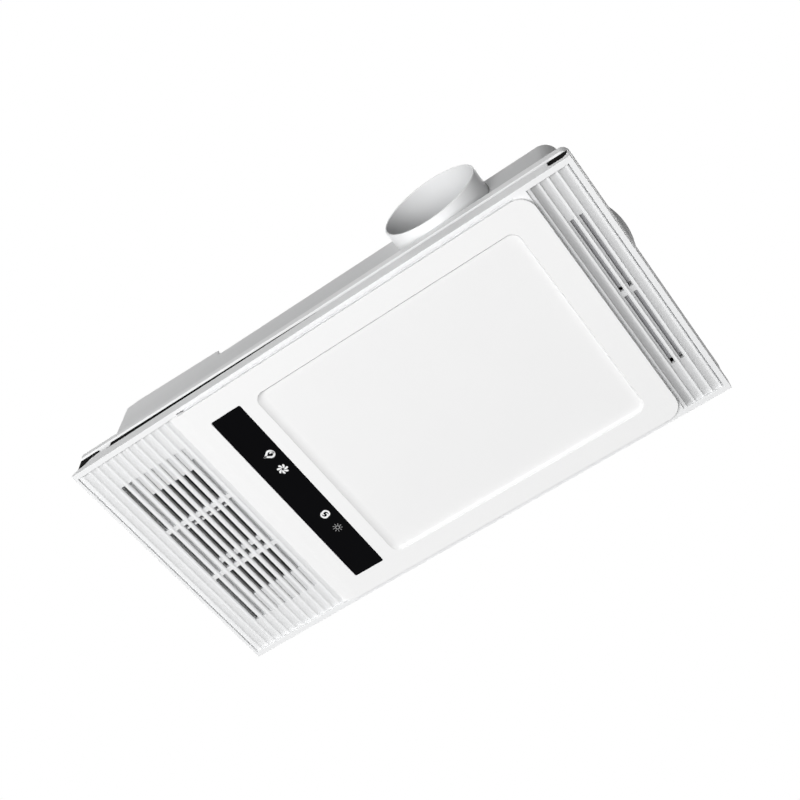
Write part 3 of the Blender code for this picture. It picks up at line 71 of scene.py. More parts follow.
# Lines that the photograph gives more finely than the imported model
WALL = 130.5 * MM
RIB_REACH = PANEL_HIGH.y - 6 * MM
CREST_LEVEL = RIM_FACE + 2 * MM
SHOULDER_START = COVER_LOW.x - 16.4 * MM
SHOULDER_END = COVER_LOW.x + 3.3 * MM
SHOULDER_BACK = CREST_LEVEL + 1.9 * MM
LIGHT_EDGE = (
    (LIGHT_LOW.x - 2 * MM, LIGHT_LOW.y - 0.8 * MM), (LIGHT_HIGH.x + 0.8 * MM, LIGHT_HIGH.y + 1.3 * MM)
)
LIGHT_CORNER = 11 * MM
STRIP_EDGE = (
    (STRIP_LOW.x - 0.2 * MM, STRIP_LOW.y + 0.6 * MM), (STRIP_HIGH.x + 1.4 * MM, STRIP_HIGH.y - 0.4 * MM)
)
STRIP_CORNER = 2 * MM
END_WALL = PANEL_LOW.x + 12 * MM
END_SLOPE = [
    (PANEL_LOW.x - MM, RIM_FACE + 2.6 * MM), (PANEL_LOW.x + 7 * MM, RIM_FACE + 8.4 * MM),
    (END_WALL, RIM_FACE + 8.4 * MM), (END_WALL, PANEL_HIGH.z + MM), (PANEL_LOW.x - MM, PANEL_HIGH.z + MM),
]
WALL_NOTCHES = [(x * MM, z * MM) for x, z in (
    (-301, -8.5), (-287, -8.4), (-283, -6.6), (-280, -3.4), (-278, -1.8), (-272.5, -1.6), (-272.5, 0.5),
    (-257, 0.5), (-256.6, -2.6), (-50, -2.6), (70, -1.1), (276, 0.5), (276.6, -8.4), (278.6, -11),
    (281, -11.4), (292, -11.4), (296, -9.4), (297.6, -6), (298, 0.5), (298, 2), (-301, 2),
)]
# Crest of the black foam, drawn along the dark slit between frame and face: partly a real seal, partly painted
# shadow in the gap
FOAM_SHADOW_CREST = [(x * MM, z * MM) for x, z in (
    (297.5, 4.6), (276, 4.8), (274, 1), (70, 1.5), (0, 4.7), (-50, 6), (-100, 7.4), (-200, 9.5), (-256, 11),
    (-256.5, 3.4), (-272.5, 3.4), (-273, 11.2), (-297, 11.7),
)]


# Settings that a user would change

def length_setting(name, description, millimetres):
    """A setting for a length."""
    return FloatProperty(name=name, description=description, default=millimetres * MM, unit="LENGTH")


def colour_setting(name, description, default):
    """A colour setting with a picker."""
    return FloatVectorProperty(
        name=name, description=description, default=default, size=3, min=0, max=1, subtype="COLOR"
    )


class HeaterSizes(bpy.types.PropertyGroup):
    """Sizes of the fine shapes"""

    rib_pitch: length_setting("Rib Pitch", "Distance from one rib's crest to the next", 10)
    scoop_depth: length_setting(
        "Outlet Scoop Depth", "Depth of the hollow between two ribs of the outlet grille", 1.8
    )
    intake_scoop_depth: length_setting(
        "Intake Scoop Depth", "Depth of the hollow between two ribs of the intake grille", 2.5
    )
    scoop_skew: FloatProperty(
        name="Scoop Skew",
        description="1 for even scoops; less moves their deepest line towards the outlet end",
        default=0.8, min=0.4, max=1.6,
    )
    crest_width: length_setting("Crest Width", "Flat width on top of a rib", 2.4)
    slot_width: length_setting("Slot Width", "Width of an intake slot", 4)
    outlet_slot_width: length_setting("Outlet Slot Width", "Width of an outlet slot", 4.4)
    moulded_edge: length_setting("Moulded Edge", "Rounding of the plastic pieces' edges", 0.35)
    folded_edge: length_setting("Folded Edge", "Rounding of the sheet metal's folds", 1.1)
    frame_fold: length_setting("Frame Fold", "Height of the sloping fold at the middle of the frame", 8)
    mouth_lean: FloatProperty(
        name="Mouth Lean", description="How far the collar's mouth leans back for each metre of height",
        default=0.04, min=0, max=0.2,
    )
    light_slope: length_setting("Light Field Slope", "Width of the slope round the light field", 2.6)
    light_slope_left: length_setting(
        "Light Field Slope at the Strip", "Width of the long slope beside the touch strip", 9.5
    )
    light_depth: length_setting("Light Field Depth", "Depth of the light field below the cover", 2.9)
    symbol_size: length_setting("Symbol Size", "Height of the symbols on the strip", 12)
    screw_count: IntProperty(
        name="Wall Screws", description="Screws along each long wall of the body", default=6, min=2, max=12
    )


class HeaterColours(bpy.types.PropertyGroup):
    """Colours of the finishes"""

    moulding: colour_setting("Moulding", "White plastic of the face and the collar", (0.86, 0.865, 0.87))
    cover: colour_setting("Cover", "Glossy white of the centre cover", (0.902, 0.902, 0.902))
    light_field: colour_setting("Light Field", "Opal plastic over the light", (0.885, 0.885, 0.885))
    strip: colour_setting("Strip", "Glass of the touch strip", (0.0018, 0.0018, 0.0024))
    symbols: colour_setting("Symbols", "Printed symbols on the strip", (0.86, 0.86, 0.86))
    body_paint: colour_setting("Body Paint", "Painted sheet of the body", (0.885, 0.89, 0.895))
    frame_paint: colour_setting("Frame Paint", "Paint of the mounting frame", (0.865, 0.87, 0.875))


class HeaterSettings(bpy.types.PropertyGroup):
    """All settings of the heater"""

    sizes: PointerProperty(type=HeaterSizes, name="Sizes", description="Sizes of the fine shapes")
    colours: PointerProperty(type=HeaterColours, name="Colours", description="Colours of the finishes")


def sizes():
    return bpy.context.scene.heater.sizes


def colours():
    return bpy.context.scene.heater.colours


# Node trees

def socket_name(key):
    """The socket that a keyword means: i0 is the first one, step_reach is Step Reach."""
    if key[0] == "i" and key[1:].isdigit():
        return int(key[1:])
    return key.replace("_", " ").title().replace("Ior", "IOR")


def socket_type(label, default):
    """The type of socket that holds a default; one without a default is known by its name."""
    if default is None:
        return {"Piece": "NodeSocketObject"}.get(label, "NodeSocket" + label)
    if isinstance(default, tuple):
        return "NodeSocketColor" if len(default) == 4 else "NodeSocketVector"
    return "NodeSocketInt" if isinstance(default, int) else "NodeSocketFloat"


class Tree:
    """A node tree under construction."""

    def __init__(self, tree):
        self.tree = tree

    def set(self, node, **inputs):
        """Gives a node its inputs, each a value or another node's socket."""
        for key, value in inputs.items():
            socket = node.inputs[socket_name(key)]
            if isinstance(value, bpy.types.NodeSocket):
                self.tree.links.new(value, socket)
            else:
                socket.default_value = value
        return node

    def add(self, kind, settings=None, **inputs):
        """A new node with its settings and its inputs."""
        node = self.tree.nodes.new(kind)
        for key, value in (settings or {}).items():
            setattr(node, key, value)
        return self.set(node, **inputs)

    def calc(self, operation, first, second=0.0, clamp=False):
        """What a Math node makes of its values."""
        settings = {"operation": operation, "use_clamp": clamp}
        return self.add("ShaderNodeMath", settings, i0=first, i1=second).outputs[0]

    def parts(self, vector):
        """The X, Y and Z of a vector."""
        return self.add("ShaderNodeSeparateXYZ", i0=vector).outputs

    def where(self):
        """The place on the piece, in its own coordinates."""
        return self.add("ShaderNodeTexCoord").outputs["Object"]

    def noise(self, vector, scale, detail=3.0):
        """A noise texture's value."""
        return self.add("ShaderNodeTexNoise", vector=vector, scale=scale, detail=detail).outputs["Fac"]

    def tint(self, colour, value):
        """A colour made lighter or darker."""
        return self.add("ShaderNodeHueSaturation", color=colour, value=value).outputs["Color"]


class Group(Tree):
    """A new node group, with the names of its sockets and their defaults."""

    def __init__(self, name, kind, inputs, outputs):
        super().__init__(bpy.data.node_groups.new(name, kind))
        for way, sockets in (("INPUT", inputs), ("OUTPUT", outputs)):
            for label, default in sockets.items():
                made = self.tree.interface.new_socket(
                    name=label, in_out=way, socket_type=socket_type(label, default)
                )
                if default is not None:
                    made.default_value = default
        self.given = self.add("NodeGroupInput").outputs
        self.result = self.add("NodeGroupOutput")

    def ends(self, **outputs):
        """The finished group."""
        self.set(self.result, **outputs)
        return self.tree


def shared(build):
    """The node group that a function builds, made once under the function's own name."""
    name = build.__name__.replace("_", " ").title()
    return bpy.data.node_groups.get(name) or build(name)


# Shader groups, shared by the finishes

PALE = (0.8, 0.8, 0.8, 1)
SURFACE = {"Colour": PALE, "Roughness": 0.4, "Height": 0.0}
MODULE_LENGTH = 600 * MM


def moulded_grain(name):
    """Fine spark-eroded grain and a faint cloudiness, as moulded plastic has."""
    inputs = {"Colour": PALE, "Grain Scale": 1800.0, "Cloudiness": 0.03, "Roughness": 0.4}
    t = Group(name, "ShaderNodeTree", inputs, SURFACE)
    where = t.where()
    cloud = t.calc("SUBTRACT", t.noise(where, scale=14.0), 0.5)
    value = t.calc("ADD", t.calc("MULTIPLY", cloud, t.given["Cloudiness"]), 1.0)
    rough = t.calc("MULTIPLY", cloud, 0.12)
    return t.ends(
        colour=t.tint(t.given["Colour"], value),
        roughness=t.calc("ADD", rough, t.given["Roughness"], True),
        height=t.noise(where, scale=t.given["Grain Scale"], detail=2.0),
    )


def rolled_sheet(name):
    """Rolled sheet: long streaks and blotches under paint or zinc, and painted shade that darkens it along the
    module towards +X.
    """
    inputs = {"Colour": PALE, "Streaks": 0.05, "Blotches": 0.05, "Fade": 0.0, "Roughness": 0.4}
    t = Group(name, "ShaderNodeTree", inputs, SURFACE)
    where = t.where()
    stretched = t.add("ShaderNodeMapping", vector=where, scale=(6, 160, 160)).outputs["Vector"]
    streak = t.calc("SUBTRACT", t.noise(stretched, scale=1.0), 0.5)
    blotch = t.calc("SUBTRACT", t.noise(where, scale=22.0, detail=4.0), 0.5)
    streaks = t.calc("MULTIPLY", streak, t.given["Streaks"])
    change = t.calc("ADD", streaks, t.calc("MULTIPLY", blotch, t.given["Blotches"]))
    # Painted shade: darker from the -X end towards the +X end of the module
    along = t.calc("ADD", t.calc("DIVIDE", t.parts(where)["X"], MODULE_LENGTH), 0.5, True)
    fade = t.calc("MULTIPLY", along, t.given["Fade"])
    return t.ends(
        colour=t.tint(t.given["Colour"], t.calc("SUBTRACT", t.calc("ADD", change, 1.0), fade)),
        roughness=t.calc("ADD", change, t.given["Roughness"], True),
        height=t.noise(where, scale=900.0, detail=2.0),
    )


def attic_dust(name):
    """Grey dust that gathers on surfaces facing up, for the pieces above the ceiling."""
    inputs = {"Colour": PALE, "Dust Colour": (0.42, 0.41, 0.39, 1), "Amount": 0.25}
    t = Group(name, "ShaderNodeTree", inputs, {"Colour": PALE})
    normal = t.add("ShaderNodeNewGeometry").outputs["Normal"]
    up = t.calc("MAXIMUM", t.parts(normal)["Z"], 0.0)
    patch = t.calc("MULTIPLY", t.noise(t.where(), scale=35.0, detail=5.0), 1.4, True)
    mask = t.calc("MULTIPLY", t.calc("MULTIPLY", up, patch), t.given["Amount"], True)
    settings = {"data_type": "RGBA"}
    mix = t.add("ShaderNodeMix", settings, factor=mask, a=t.given["Colour"], b=t.given["Dust Colour"])
    return t.ends(colour=mix.outputs["Result"])


def groove_shade(name):
    """Painted shade in grooves: darker with depth behind a plane, and a painted shadow beside a step that
    crosses them.
    """
    t = Group(name, "ShaderNodeTree", {
        "Colour": PALE, "Top": 0.0, "Depth": 0.002, "Amount": 0.1, "Step": 0.0, "Step Reach": 0.01,
        "Step Amount": 0.0,
    }, {"Colour": PALE})
    g = t.given
    where = t.parts(t.where())
    # Painted shade: deeper in a groove is darker; near the step, a painted shadow of the step
    deep = t.calc("DIVIDE", t.calc("SUBTRACT", where["Z"], g["Top"]), g["Depth"], True)
    beside = t.calc("DIVIDE", t.calc("SUBTRACT", where["X"], g["Step"]), g["Step Reach"], True)
    near = t.calc("SMOOTH_MIN", t.calc("MULTIPLY", t.calc("SUBTRACT", 1.0, beside), 2.0), 1.0)
    deep = t.calc("MULTIPLY", deep, g["Amount"])
    lost = t.calc("ADD", deep, t.calc("MULTIPLY", near, g["Step Amount"]), True)
    return t.ends(colour=t.tint(g["Colour"], t.calc("SUBTRACT", 1.0, lost)))


def copper_tracks(t):
    """A circuit board's solder mask with faint copper tracks under it."""
    return t.add(
        "ShaderNodeTexBrick", vector=t.where(), color1=(0.02, 0.13, 0.06, 1), color2=(0.025, 0.16, 0.075, 1),
        mortar=(0.05, 0.26, 0.12, 1), scale=260, mortar_size=0.12,
    ).outputs["Color"]


# Finishes

def plastic(colour, roughness, bump, cloudiness, **more):
    """A finish of moulded plastic."""
    return dict(
        surface=moulded_grain, colour=colour, roughness=roughness, bump=bump, cloudiness=cloudiness, **more
    )


def sheet(colour, roughness, metallic, bump, streaks, blotches, **more):
    """A finish of painted or bare sheet."""
    return dict(
        surface=rolled_sheet, colour=colour, roughness=roughness, metallic=metallic, bump=bump,
        streaks=streaks, blotches=blotches, **more
    )


def finishes():
    """The values of every finish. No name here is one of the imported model's own materials."""
    s, c = sizes(), colours()
    # Painted shade in the grilles' scoops, and on the intake a painted shadow beside the cover's edge
    groove_top = CREST_LEVEL + 0.1 * MM
    outlet_painted_shade = dict(top=groove_top, depth=s.scoop_depth, amount=0.16)
    intake_painted_shade = dict(
        top=groove_top, depth=s.intake_scoop_depth, amount=0.36, step=COVER_HIGH.x, step_reach=16 * MM,
        step_amount=0.22,
    )
    white = plastic(c.moulding, 0.42, 0.05, 0.02, specular_ior_level=0.3)
    dim = tuple(0.4 * value for value in c.symbols)
    return {
        "white_moulding": white,
        "outlet_moulding_painted_shade": dict(white, grooves=outlet_painted_shade),
        "intake_moulding_painted_shade": dict(white, grooves=intake_painted_shade),
        # Grey of the outlet mask: painted shade behind the slots
        "mask_painted_shade": plastic((0.62, 0.625, 0.63), 0.5, 0.05, 0.08, specular_ior_level=0.3),
        # Greyer inside of the collar: painted shade in the tube
        "collar_inside_painted_shade": plastic((0.75, 0.755, 0.76), 0.6, 0.05, 0.05, specular_ior_level=0.2),
        "glossy_cover": plastic(c.cover, 0.25, 0.01, 0.008),
        "light_opal": plastic(c.light_field, 0.3, 0.02, 0.02),
        "strip_glass": plastic(c.strip, 0.2, 0.0, 0.4, specular_ior_level=0.03),
        # Black foam: partly a real seal, partly painted shadow in the gap between frame and face
        "black_foam_painted_shadow": plastic((0.008, 0.008, 0.008), 0.95, 0.8, 0.5, specular_ior_level=0.05),
        "mesh_nylon": plastic((0.3, 0.3, 0.31), 0.5, 0.1, 0.1),
        "symbol_print": plastic(c.symbols, 0.5, 0.0, 0.03),
        "symbol_print_dim": plastic(dim, 0.5, 0.0, 0.03),
        "dark_moulding": plastic((0.035, 0.035, 0.038), 0.5, 0.12, 0.25, dust=dict(amount=0.1)),
        "grey_moulding": plastic((0.4, 0.41, 0.42), 0.48, 0.1, 0.06),
        "lamp_board": plastic((0.8, 0.8, 0.78), 0.7, 0.02, 0.02),
        "circuit_board": plastic((0.02, 0.13, 0.06), 0.7, 0.02, 0.1, pattern=copper_tracks),
        # The body darkens towards its +X end: painted shade
        "body_paint": sheet(
            c.body_paint, 0.5, 0.0, 0.05, 0.05, 0.06, dust=dict(amount=0.22), fade=0.31,
            specular_ior_level=0.25,
        ),
        "frame_paint": sheet(c.frame_paint, 0.42, 0.0, 0.03, 0.02, 0.03, specular_ior_level=0.3),
        "zinc_sheet": sheet((0.62, 0.63, 0.64), 0.36, 0.85, 0.05, 0.12, 0.22, dust=dict(amount=0.12)),
        "bare_steel": sheet((0.62, 0.62, 0.631), 0.4, 0.9, 0.01, 0.06, 0.03),
        "fin_aluminium": sheet((0.74, 0.74, 0.76), 0.34, 1.0, 0.04, 0.12, 0.08),
        "stator_stack": sheet((0.2, 0.12, 0.07), 0.5, 0.5, 0.2, 0.5, 0.15),
    }


def finish(name):
    """The finish of that name, built once."""
    return bpy.data.materials.get(name) or built_finish(name, **finishes()[name])


def built_finish(name, surface, colour, roughness, bump, pattern=None, grooves=None, dust=None, **values):
    """A material made of the shared groups; each further value goes to the socket of its name."""
    material = bpy.data.materials.new(name)
    material.use_nodes = True
    t = Tree(material.node_tree)
    shader = t.tree.nodes["Principled BSDF"]
    base = t.add("ShaderNodeGroup", {"node_tree": shared(surface)}, colour=(*colour, 1), roughness=roughness)
    for key, value in values.items():
        t.set(base if socket_name(key) in base.inputs else shader, **{key: value})
    paint = pattern(t) if pattern else base.outputs["Colour"]
    for build, layer in ((groove_shade, grooves), (attic_dust, dust)):
        if layer:
            over = t.add("ShaderNodeGroup", {"node_tree": shared(build)}, colour=paint, **layer)
            paint = over.outputs["Colour"]
    relief = t.add("ShaderNodeBump", strength=bump, distance=0.1 * MM, height=base.outputs["Height"])
    t.set(shader, base_color=paint, roughness=base.outputs["Roughness"], normal=relief.outputs["Normal"])
    return material


# Outlines

def rect(low, high):
    """A rectangle between two corners."""
    return [(low[0], low[1]), (high[0], low[1]), (high[0], high[1]), (low[0], high[1])]


def rounded(low, high, radii, steps=12):
    """A rectangle with one radius or one for each corner, from low left round to high left."""
    if not isinstance(radii, tuple):
        radii = (radii,) * 4
    corners = ((low[0], low[1], 180), (high[0], low[1], 270), (high[0], high[1], 0), (low[0], high[1], 90))
    points = []
    for (x, y, start), radius in zip(corners, radii):
        cx = x + radius * (1 if x == low[0] else -1)
        cy = y + radius * (1 if y == low[1] else -1)
        for i in range(steps + 1):
            angle = math.radians(start + 90 * i / steps)
            points.append((cx + radius * math.cos(angle), cy + radius * math.sin(angle)))
    return points


def circle(centre, radius, steps=96):
    """A circle."""
    turns = [2 * math.pi * i / steps for i in range(steps)]
    return [(centre[0] + radius * math.cos(a), centre[1] + radius * math.sin(a)) for a in turns]


def inset_outline(points, amounts):
    """A counter-clockwise outline with each edge moved inwards by its own amount."""
    lines = []
    for i, amount in enumerate(amounts):
        start, end = Vector(points[i]), Vector(points[(i + 1) % len(points)])
        run = (end - start).normalized()
        lines.append((start + Vector((-run.y, run.x)) * amount, run))
    corners = []
    for i in range(len(lines)):
        (a, u), (b, v) = lines[i - 1], lines[i]
        corners.append(tuple(a + u * ((b - a).cross(v) / u.cross(v))))
    return corners


# Edited meshes

def close_sides(bm, rings):
    """Faces between each ring of vertices and the next."""
    for this, after in zip(rings, rings[1:]):
        for i in range(len(this)):
            j = (i + 1) % len(this)
            bm.faces.new((this[i], this[j], after[j], after[i]))


def vertex_rings(bm, loops):
    """Vertices on each loop of points."""
    return [[bm.verts.new(point) for point in loop] for loop in loops]


def add_prism(bm, outline, low, high):
    """Adds an outline in plan, extruded from one height to another."""
    rings = vertex_rings(bm, [[(x, y, z) for x, y in outline] for z in (low, high)])
    bm.faces.new(rings[0])
    bm.faces.new(rings[1])
    close_sides(bm, rings)


def lay_along_y(bm):
    """Swaps Y and Z, so that what stood up lies along Y."""
    for vert in bm.verts:
        vert.co = (vert.co.x, vert.co.z, vert.co.y)
    return bm


def prism(outline, low, high):
    """An outline in plan, extruded in height."""
    bm = bmesh.new()
    add_prism(bm, outline, low, high)
    return bm


def prism_y(outline, low, high):
    """An outline in X and Z, extruded along Y."""
    return lay_along_y(prism(outline, low, high))


def box(low, high):
    """A box between two corners."""
    return prism(rect(low, high), low[2], high[2])


def ring_solid(loops):
    """A closed ring whose cross-section runs through the given loops of points."""
    bm = bmesh.new()
    rings = vertex_rings(bm, loops)
    close_sides(bm, rings + [rings[0]])
    return bm


def turned(profile, centre, steps=128):
    """A closed profile of radius and Y, turned round an axis along Y."""
    turns = [2 * math.pi * i / steps for i in range(steps)]
    return ring_solid([
        [(centre[0] + r * math.cos(a), y, centre[1] + r * math.sin(a)) for r, y in profile] for a in turns
    ])


# Pieces

def object_from(name, bm, look=None):
    """An object at the origin with the edited mesh and the named finish, its faces pointing outwards."""
    bmesh.ops.recalc_face_normals(bm, faces=bm.faces)
    mesh = bpy.data.meshes.new(name)
    bm.to_mesh(mesh)
    bm.free()
    if look:
        mesh.materials.append(finish(look))
    made = bpy.data.objects.new(name, mesh)
    bpy.context.scene.collection.objects.link(made)
    return made


def cut(piece, tool, operation="DIFFERENCE"):
    """Cuts an edited mesh or an object out of a piece, or joins it on, and applies the result."""
    if isinstance(tool, bmesh.types.BMesh):
        tool = object_from("cutter", tool)
    modifier = piece.modifiers.new("Cut", "BOOLEAN")
    modifier.operation = operation
    modifier.solver = "EXACT"
    modifier.object = tool
    graph = bpy.context.evaluated_depsgraph_get()
    mesh = bpy.data.meshes.new_from_object(piece.evaluated_get(graph))
    piece.modifiers.clear()
    piece.data = mesh
    bpy.data.objects.remove(tool)


def smoothed(piece, angle=40):
    """Smooth shading with sharp edges kept."""
    piece.data.shade_smooth()
    piece.data.set_sharp_from_angle(angle=math.radians(angle))
    return piece


def round_edges(piece, width, segments=2, angle=32):
    """Rounds the sharp edges and shades the rest smooth."""
    smoothed(piece, angle)
    bevel = piece.modifiers.new("Edges", "BEVEL")
    bevel.width = width
    bevel.segments = segments
    bevel.limit_method = "ANGLE"
    bevel.angle_limit = math.radians(angle)
    bevel.use_clamp_overlap = False
    bevel.harden_normals = True


def settled(piece):
    """Applies the rounding, and gives a corner whose shading it turned astray the normal of its face."""
    furthest_turn = 0.6
    graph = bpy.context.evaluated_depsgraph_get()
    mesh = bpy.data.meshes.new_from_object(
        piece.evaluated_get(graph), preserve_all_data_layers=True, depsgraph=graph
    )
    normals = [corner.vector.copy() for corner in mesh.corner_normals]
    for face in mesh.polygons:
        for i in face.loop_indices:
            if normals[i].dot(face.normal) < furthest_turn:
                normals[i] = face.normal.copy()
    piece.modifiers.clear()
    piece.data = mesh
    mesh.normals_split_custom_set(normals)


def belongs(piece, body, slot, *nodes):
    """Fixes a finished piece to its body, and lets it stand for CAD nodes. The slot is not used."""
    if "Edges" in piece.modifiers:
        settled(piece)
    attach(piece, body)
    if nodes:
        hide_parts(*nodes)


def refined(node, body, slot, look, width):
    """A CAD node with rounded edges in its place, its triangles merged into clean faces first."""
    bm = bmesh.new()
    bm.from_mesh(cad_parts[node].data)
    bmesh.ops.remove_doubles(bm, verts=bm.verts, dist=1e-6)
    bmesh.ops.dissolve_limit(bm, angle_limit=math.radians(0.5), verts=bm.verts, edges=bm.edges)
    piece = object_from(node + "_shape", bm, look)
    round_edges(piece, width)
    belongs(piece, body, slot, node)


# Geometry Nodes

class Shape(Group):
    """A Geometry Nodes tree with the given inputs and a material."""

    def __init__(self, name, inputs):
        inputs = {"Geometry": None, **inputs, "Material": None}
        super().__init__(name, "GeometryNodeTree", inputs, {"Geometry": None})

    def point(self, x=0.0, y=0.0, z=0.0):
        """A vector from three values."""
        return self.add("ShaderNodeCombineXYZ", i0=x, i1=y, i2=z).outputs[0]

    def position(self):
        """The X, Y and Z of the point being worked on."""
        return self.parts(self.add("GeometryNodeInputPosition").outputs[0])

    def shifted(self, geometry, offset):
        """Geometry moved by a vector."""
        return self.add("GeometryNodeTransform", geometry=geometry, translation=offset).outputs[0]

    def placed(self, geometry, **where):
        """Geometry with its points set or moved."""
        return self.add("GeometryNodeSetPosition", geometry=geometry, **where).outputs[0]

    def line(self, **values):
        """A row of points."""
        return self.add("GeometryNodeMeshLine", **values).outputs[0]

    def copies(self, points, instance, **values):
        """Copies of a piece on points."""
        return self.add("GeometryNodeInstanceOnPoints", points=points, instance=instance, **values).outputs[0]

    def piece(self):
        """The object that is repeated."""
        return self.add("GeometryNodeObjectInfo", object=self.given["Piece"]).outputs["Geometry"]

    def realized(self, geometry):
        """The finished tree, which ends in Realize Instances and Set Material."""
        real = self.add("GeometryNodeRealizeInstances", geometry=geometry).outputs[0]
        painted = self.add("GeometryNodeSetMaterial", geometry=real, material=self.given["Material"])
        return self.ends(geometry=painted.outputs[0])


def ribbed_grille(name):
    """A plate with scoops between sharp crests on its lower side, cut by a grid of slots."""
    t = Shape(name, {
        "Start": 0.0, "End": 0.1, "Reach": 0.14, "First Crest": 0.0, "Last Crest": 0.1, "Pitch": 0.01,
        "Crest Width": 0.001, "Scoop Depth": 0.0035, "Skew": 1.0, "Crest Level": 0.0, "Back Level": 0.006,
        "Steps": 200, "Slot Start": 0.0, "Slot Count": 2, "Slot Width": 0.004, "Slot Reach": 0.1, "Bays": 2,
        "Crossbar": 0.005,
    })
    g, calc = t.given, t.calc
    front = t.placed(sheet_of_steps(t), offset=t.point(z=scoop(t)))
    raised = t.add(
        "GeometryNodeExtrudeMesh", {"mode": "FACES"}, mesh=front, individual=False, offset=t.point(z=0.001),
        offset_scale=1.0,
    ).outputs
    place = t.position()
    flat = t.point(place["X"], place["Y"], g["Back Level"])
    backed = t.placed(raised["Mesh"], selection=raised["Top"], position=flat)
    joined = t.add("GeometryNodeJoinGeometry", i0=t.add("GeometryNodeFlipFaces", mesh=front).outputs[0])
    t.set(joined, i0=backed)
    solid = t.add("GeometryNodeMergeByDistance", geometry=joined.outputs[0], distance=1e-6).outputs[0]
    gaps = calc("MULTIPLY", calc("SUBTRACT", g["Bays"], 1.0), g["Crossbar"])
    bay = calc("DIVIDE", calc("SUBTRACT", calc("MULTIPLY", g["Slot Reach"], 2.0), gaps), g["Bays"])
    slot = t.add("GeometryNodeMeshCube", size=t.point(g["Slot Width"], bay, 0.05)).outputs["Mesh"]
    first = calc("SUBTRACT", calc("MULTIPLY", bay, 0.5), g["Slot Reach"])
    step = calc("ADD", bay, g["Crossbar"])
    down = t.line(count=g["Bays"], start_location=t.point(y=first), offset=t.point(y=step))
    across = t.line(
        count=g["Slot Count"], start_location=t.point(x=g["Slot Start"]), offset=t.point(x=g["Pitch"])
    )
    slots = t.copies(across, t.copies(down, slot))
    cutters = t.add("GeometryNodeRealizeInstances", geometry=slots).outputs[0]
    settings = {"operation": "DIFFERENCE", "solver": "EXACT"}
    opened = t.add("GeometryNodeMeshBoolean", settings, mesh_1=solid, mesh_2=cutters)
    return t.realized(opened.outputs[0])


def sheet_of_steps(t):
    """The flat sheet that the scoops are pressed into, with one row of faces for each step."""
    g, calc = t.given, t.calc
    grid = t.add(
        "GeometryNodeMeshGrid", size_x=calc("SUBTRACT", g["End"], g["Start"]),
        size_y=calc("MULTIPLY", g["Reach"], 2.0), vertices_x=g["Steps"], vertices_y=2,
    )
    middle = calc("MULTIPLY", calc("ADD", g["Start"], g["End"]), 0.5)
    return t.shifted(grid.outputs["Mesh"], t.point(middle, 0.0, g["Crest Level"]))


def scoop(t):
    """How deep the sheet lies at a point: arcs between the crests, their deepest line moved by the skew."""
    g, calc = t.given, t.calc
    x = t.position()["X"]
    turn = calc("FRACT", calc("DIVIDE", calc("SUBTRACT", x, g["First Crest"]), g["Pitch"]))
    turn = calc("POWER", turn, g["Skew"])
    aside = calc("MULTIPLY", calc("ABSOLUTE", calc("SUBTRACT", turn, 0.5)), g["Pitch"])
    chord = calc("MULTIPLY", calc("SUBTRACT", g["Pitch"], g["Crest Width"]), 0.5)
    deepest = g["Scoop Depth"]
    squares = calc("ADD", calc("MULTIPLY", chord, chord), calc("MULTIPLY", deepest, deepest))
    radius = calc("DIVIDE", squares, calc("MULTIPLY", deepest, 2.0))
    inside = calc("SUBTRACT", calc("MULTIPLY", radius, radius), calc("MULTIPLY", aside, aside))
    rise = calc("SUBTRACT", calc("SQRT", calc("MAXIMUM", inside, 0.0)), calc("SUBTRACT", radius, deepest))
    after_first = calc("GREATER_THAN", x, g["First Crest"])
    ribbed = calc("MULTIPLY", after_first, calc("LESS_THAN", x, g["Last Crest"]))
    return calc("MULTIPLY", calc("MAXIMUM", rise, 0.0), ribbed)


def row(name):
    """Copies of one object along a line."""
    t = Shape(name, {"Piece": None, "Count": 4, "Start": (0.0, 0.0, 0.0), "Step": (0.01, 0.0, 0.0)})
    line = t.line(count=t.given["Count"], start_location=t.given["Start"], offset=t.given["Step"])
    return t.realized(t.copies(line, t.piece()))


def ring(name):
    """Copies of one object round an axis along Z, each turned to face outwards."""
    t = Shape(name, {
        "Piece": None, "Count": 8, "Radius": 0.0, "Centre": (0.0, 0.0, 0.0), "First Angle": 0.0,
    })
    g, calc = t.given, t.calc
    share = calc("DIVIDE", t.add("GeometryNodeInputIndex").outputs[0], calc("MAXIMUM", g["Count"], 1.0))
    angle = calc("ADD", calc("MULTIPLY", share, 2 * math.pi), g["First Angle"])
    x = calc("MULTIPLY", calc("COSINE", angle), g["Radius"])
    y = calc("MULTIPLY", calc("SINE", angle), g["Radius"])
    points = t.line(count=g["Count"], offset=t.point())
    spread = t.placed(points, position=t.point(x, y))
    return t.realized(t.shifted(t.copies(spread, t.piece(), rotation=t.point(z=angle)), g["Centre"]))


def grown(name, build, look, **values):
    """The plain mesh that a tree makes from the given values, as an object at the origin."""
    piece = bpy.data.objects.new(name, bpy.data.meshes.new(name))
    bpy.context.scene.collection.objects.link(piece)
    modifier = piece.modifiers.new("Shape", "NODES")
    modifier.node_group = tree = shared(build)
    ids = {item.name: item.identifier for item in tree.interface.items_tree if item.in_out == "INPUT"}
    modifier[ids["Material"]] = finish(look)
    for key, value in values.items():
        modifier[ids[socket_name(key)]] = value
    graph = bpy.context.evaluated_depsgraph_get()
    result = bpy.data.meshes.new_from_object(piece.evaluated_get(graph))
    piece.modifiers.remove(modifier)
    piece.data = result
    result.name = name
    if not result.polygons:
        raise RuntimeError(name + " came out empty")
    return piece


def repeated(name, build, piece, look, **values):
    """One mesh with all copies of a piece, which is removed afterwards."""
    made = grown(name, build, look, piece=piece, **values)
    bpy.data.objects.remove(piece)
    return made


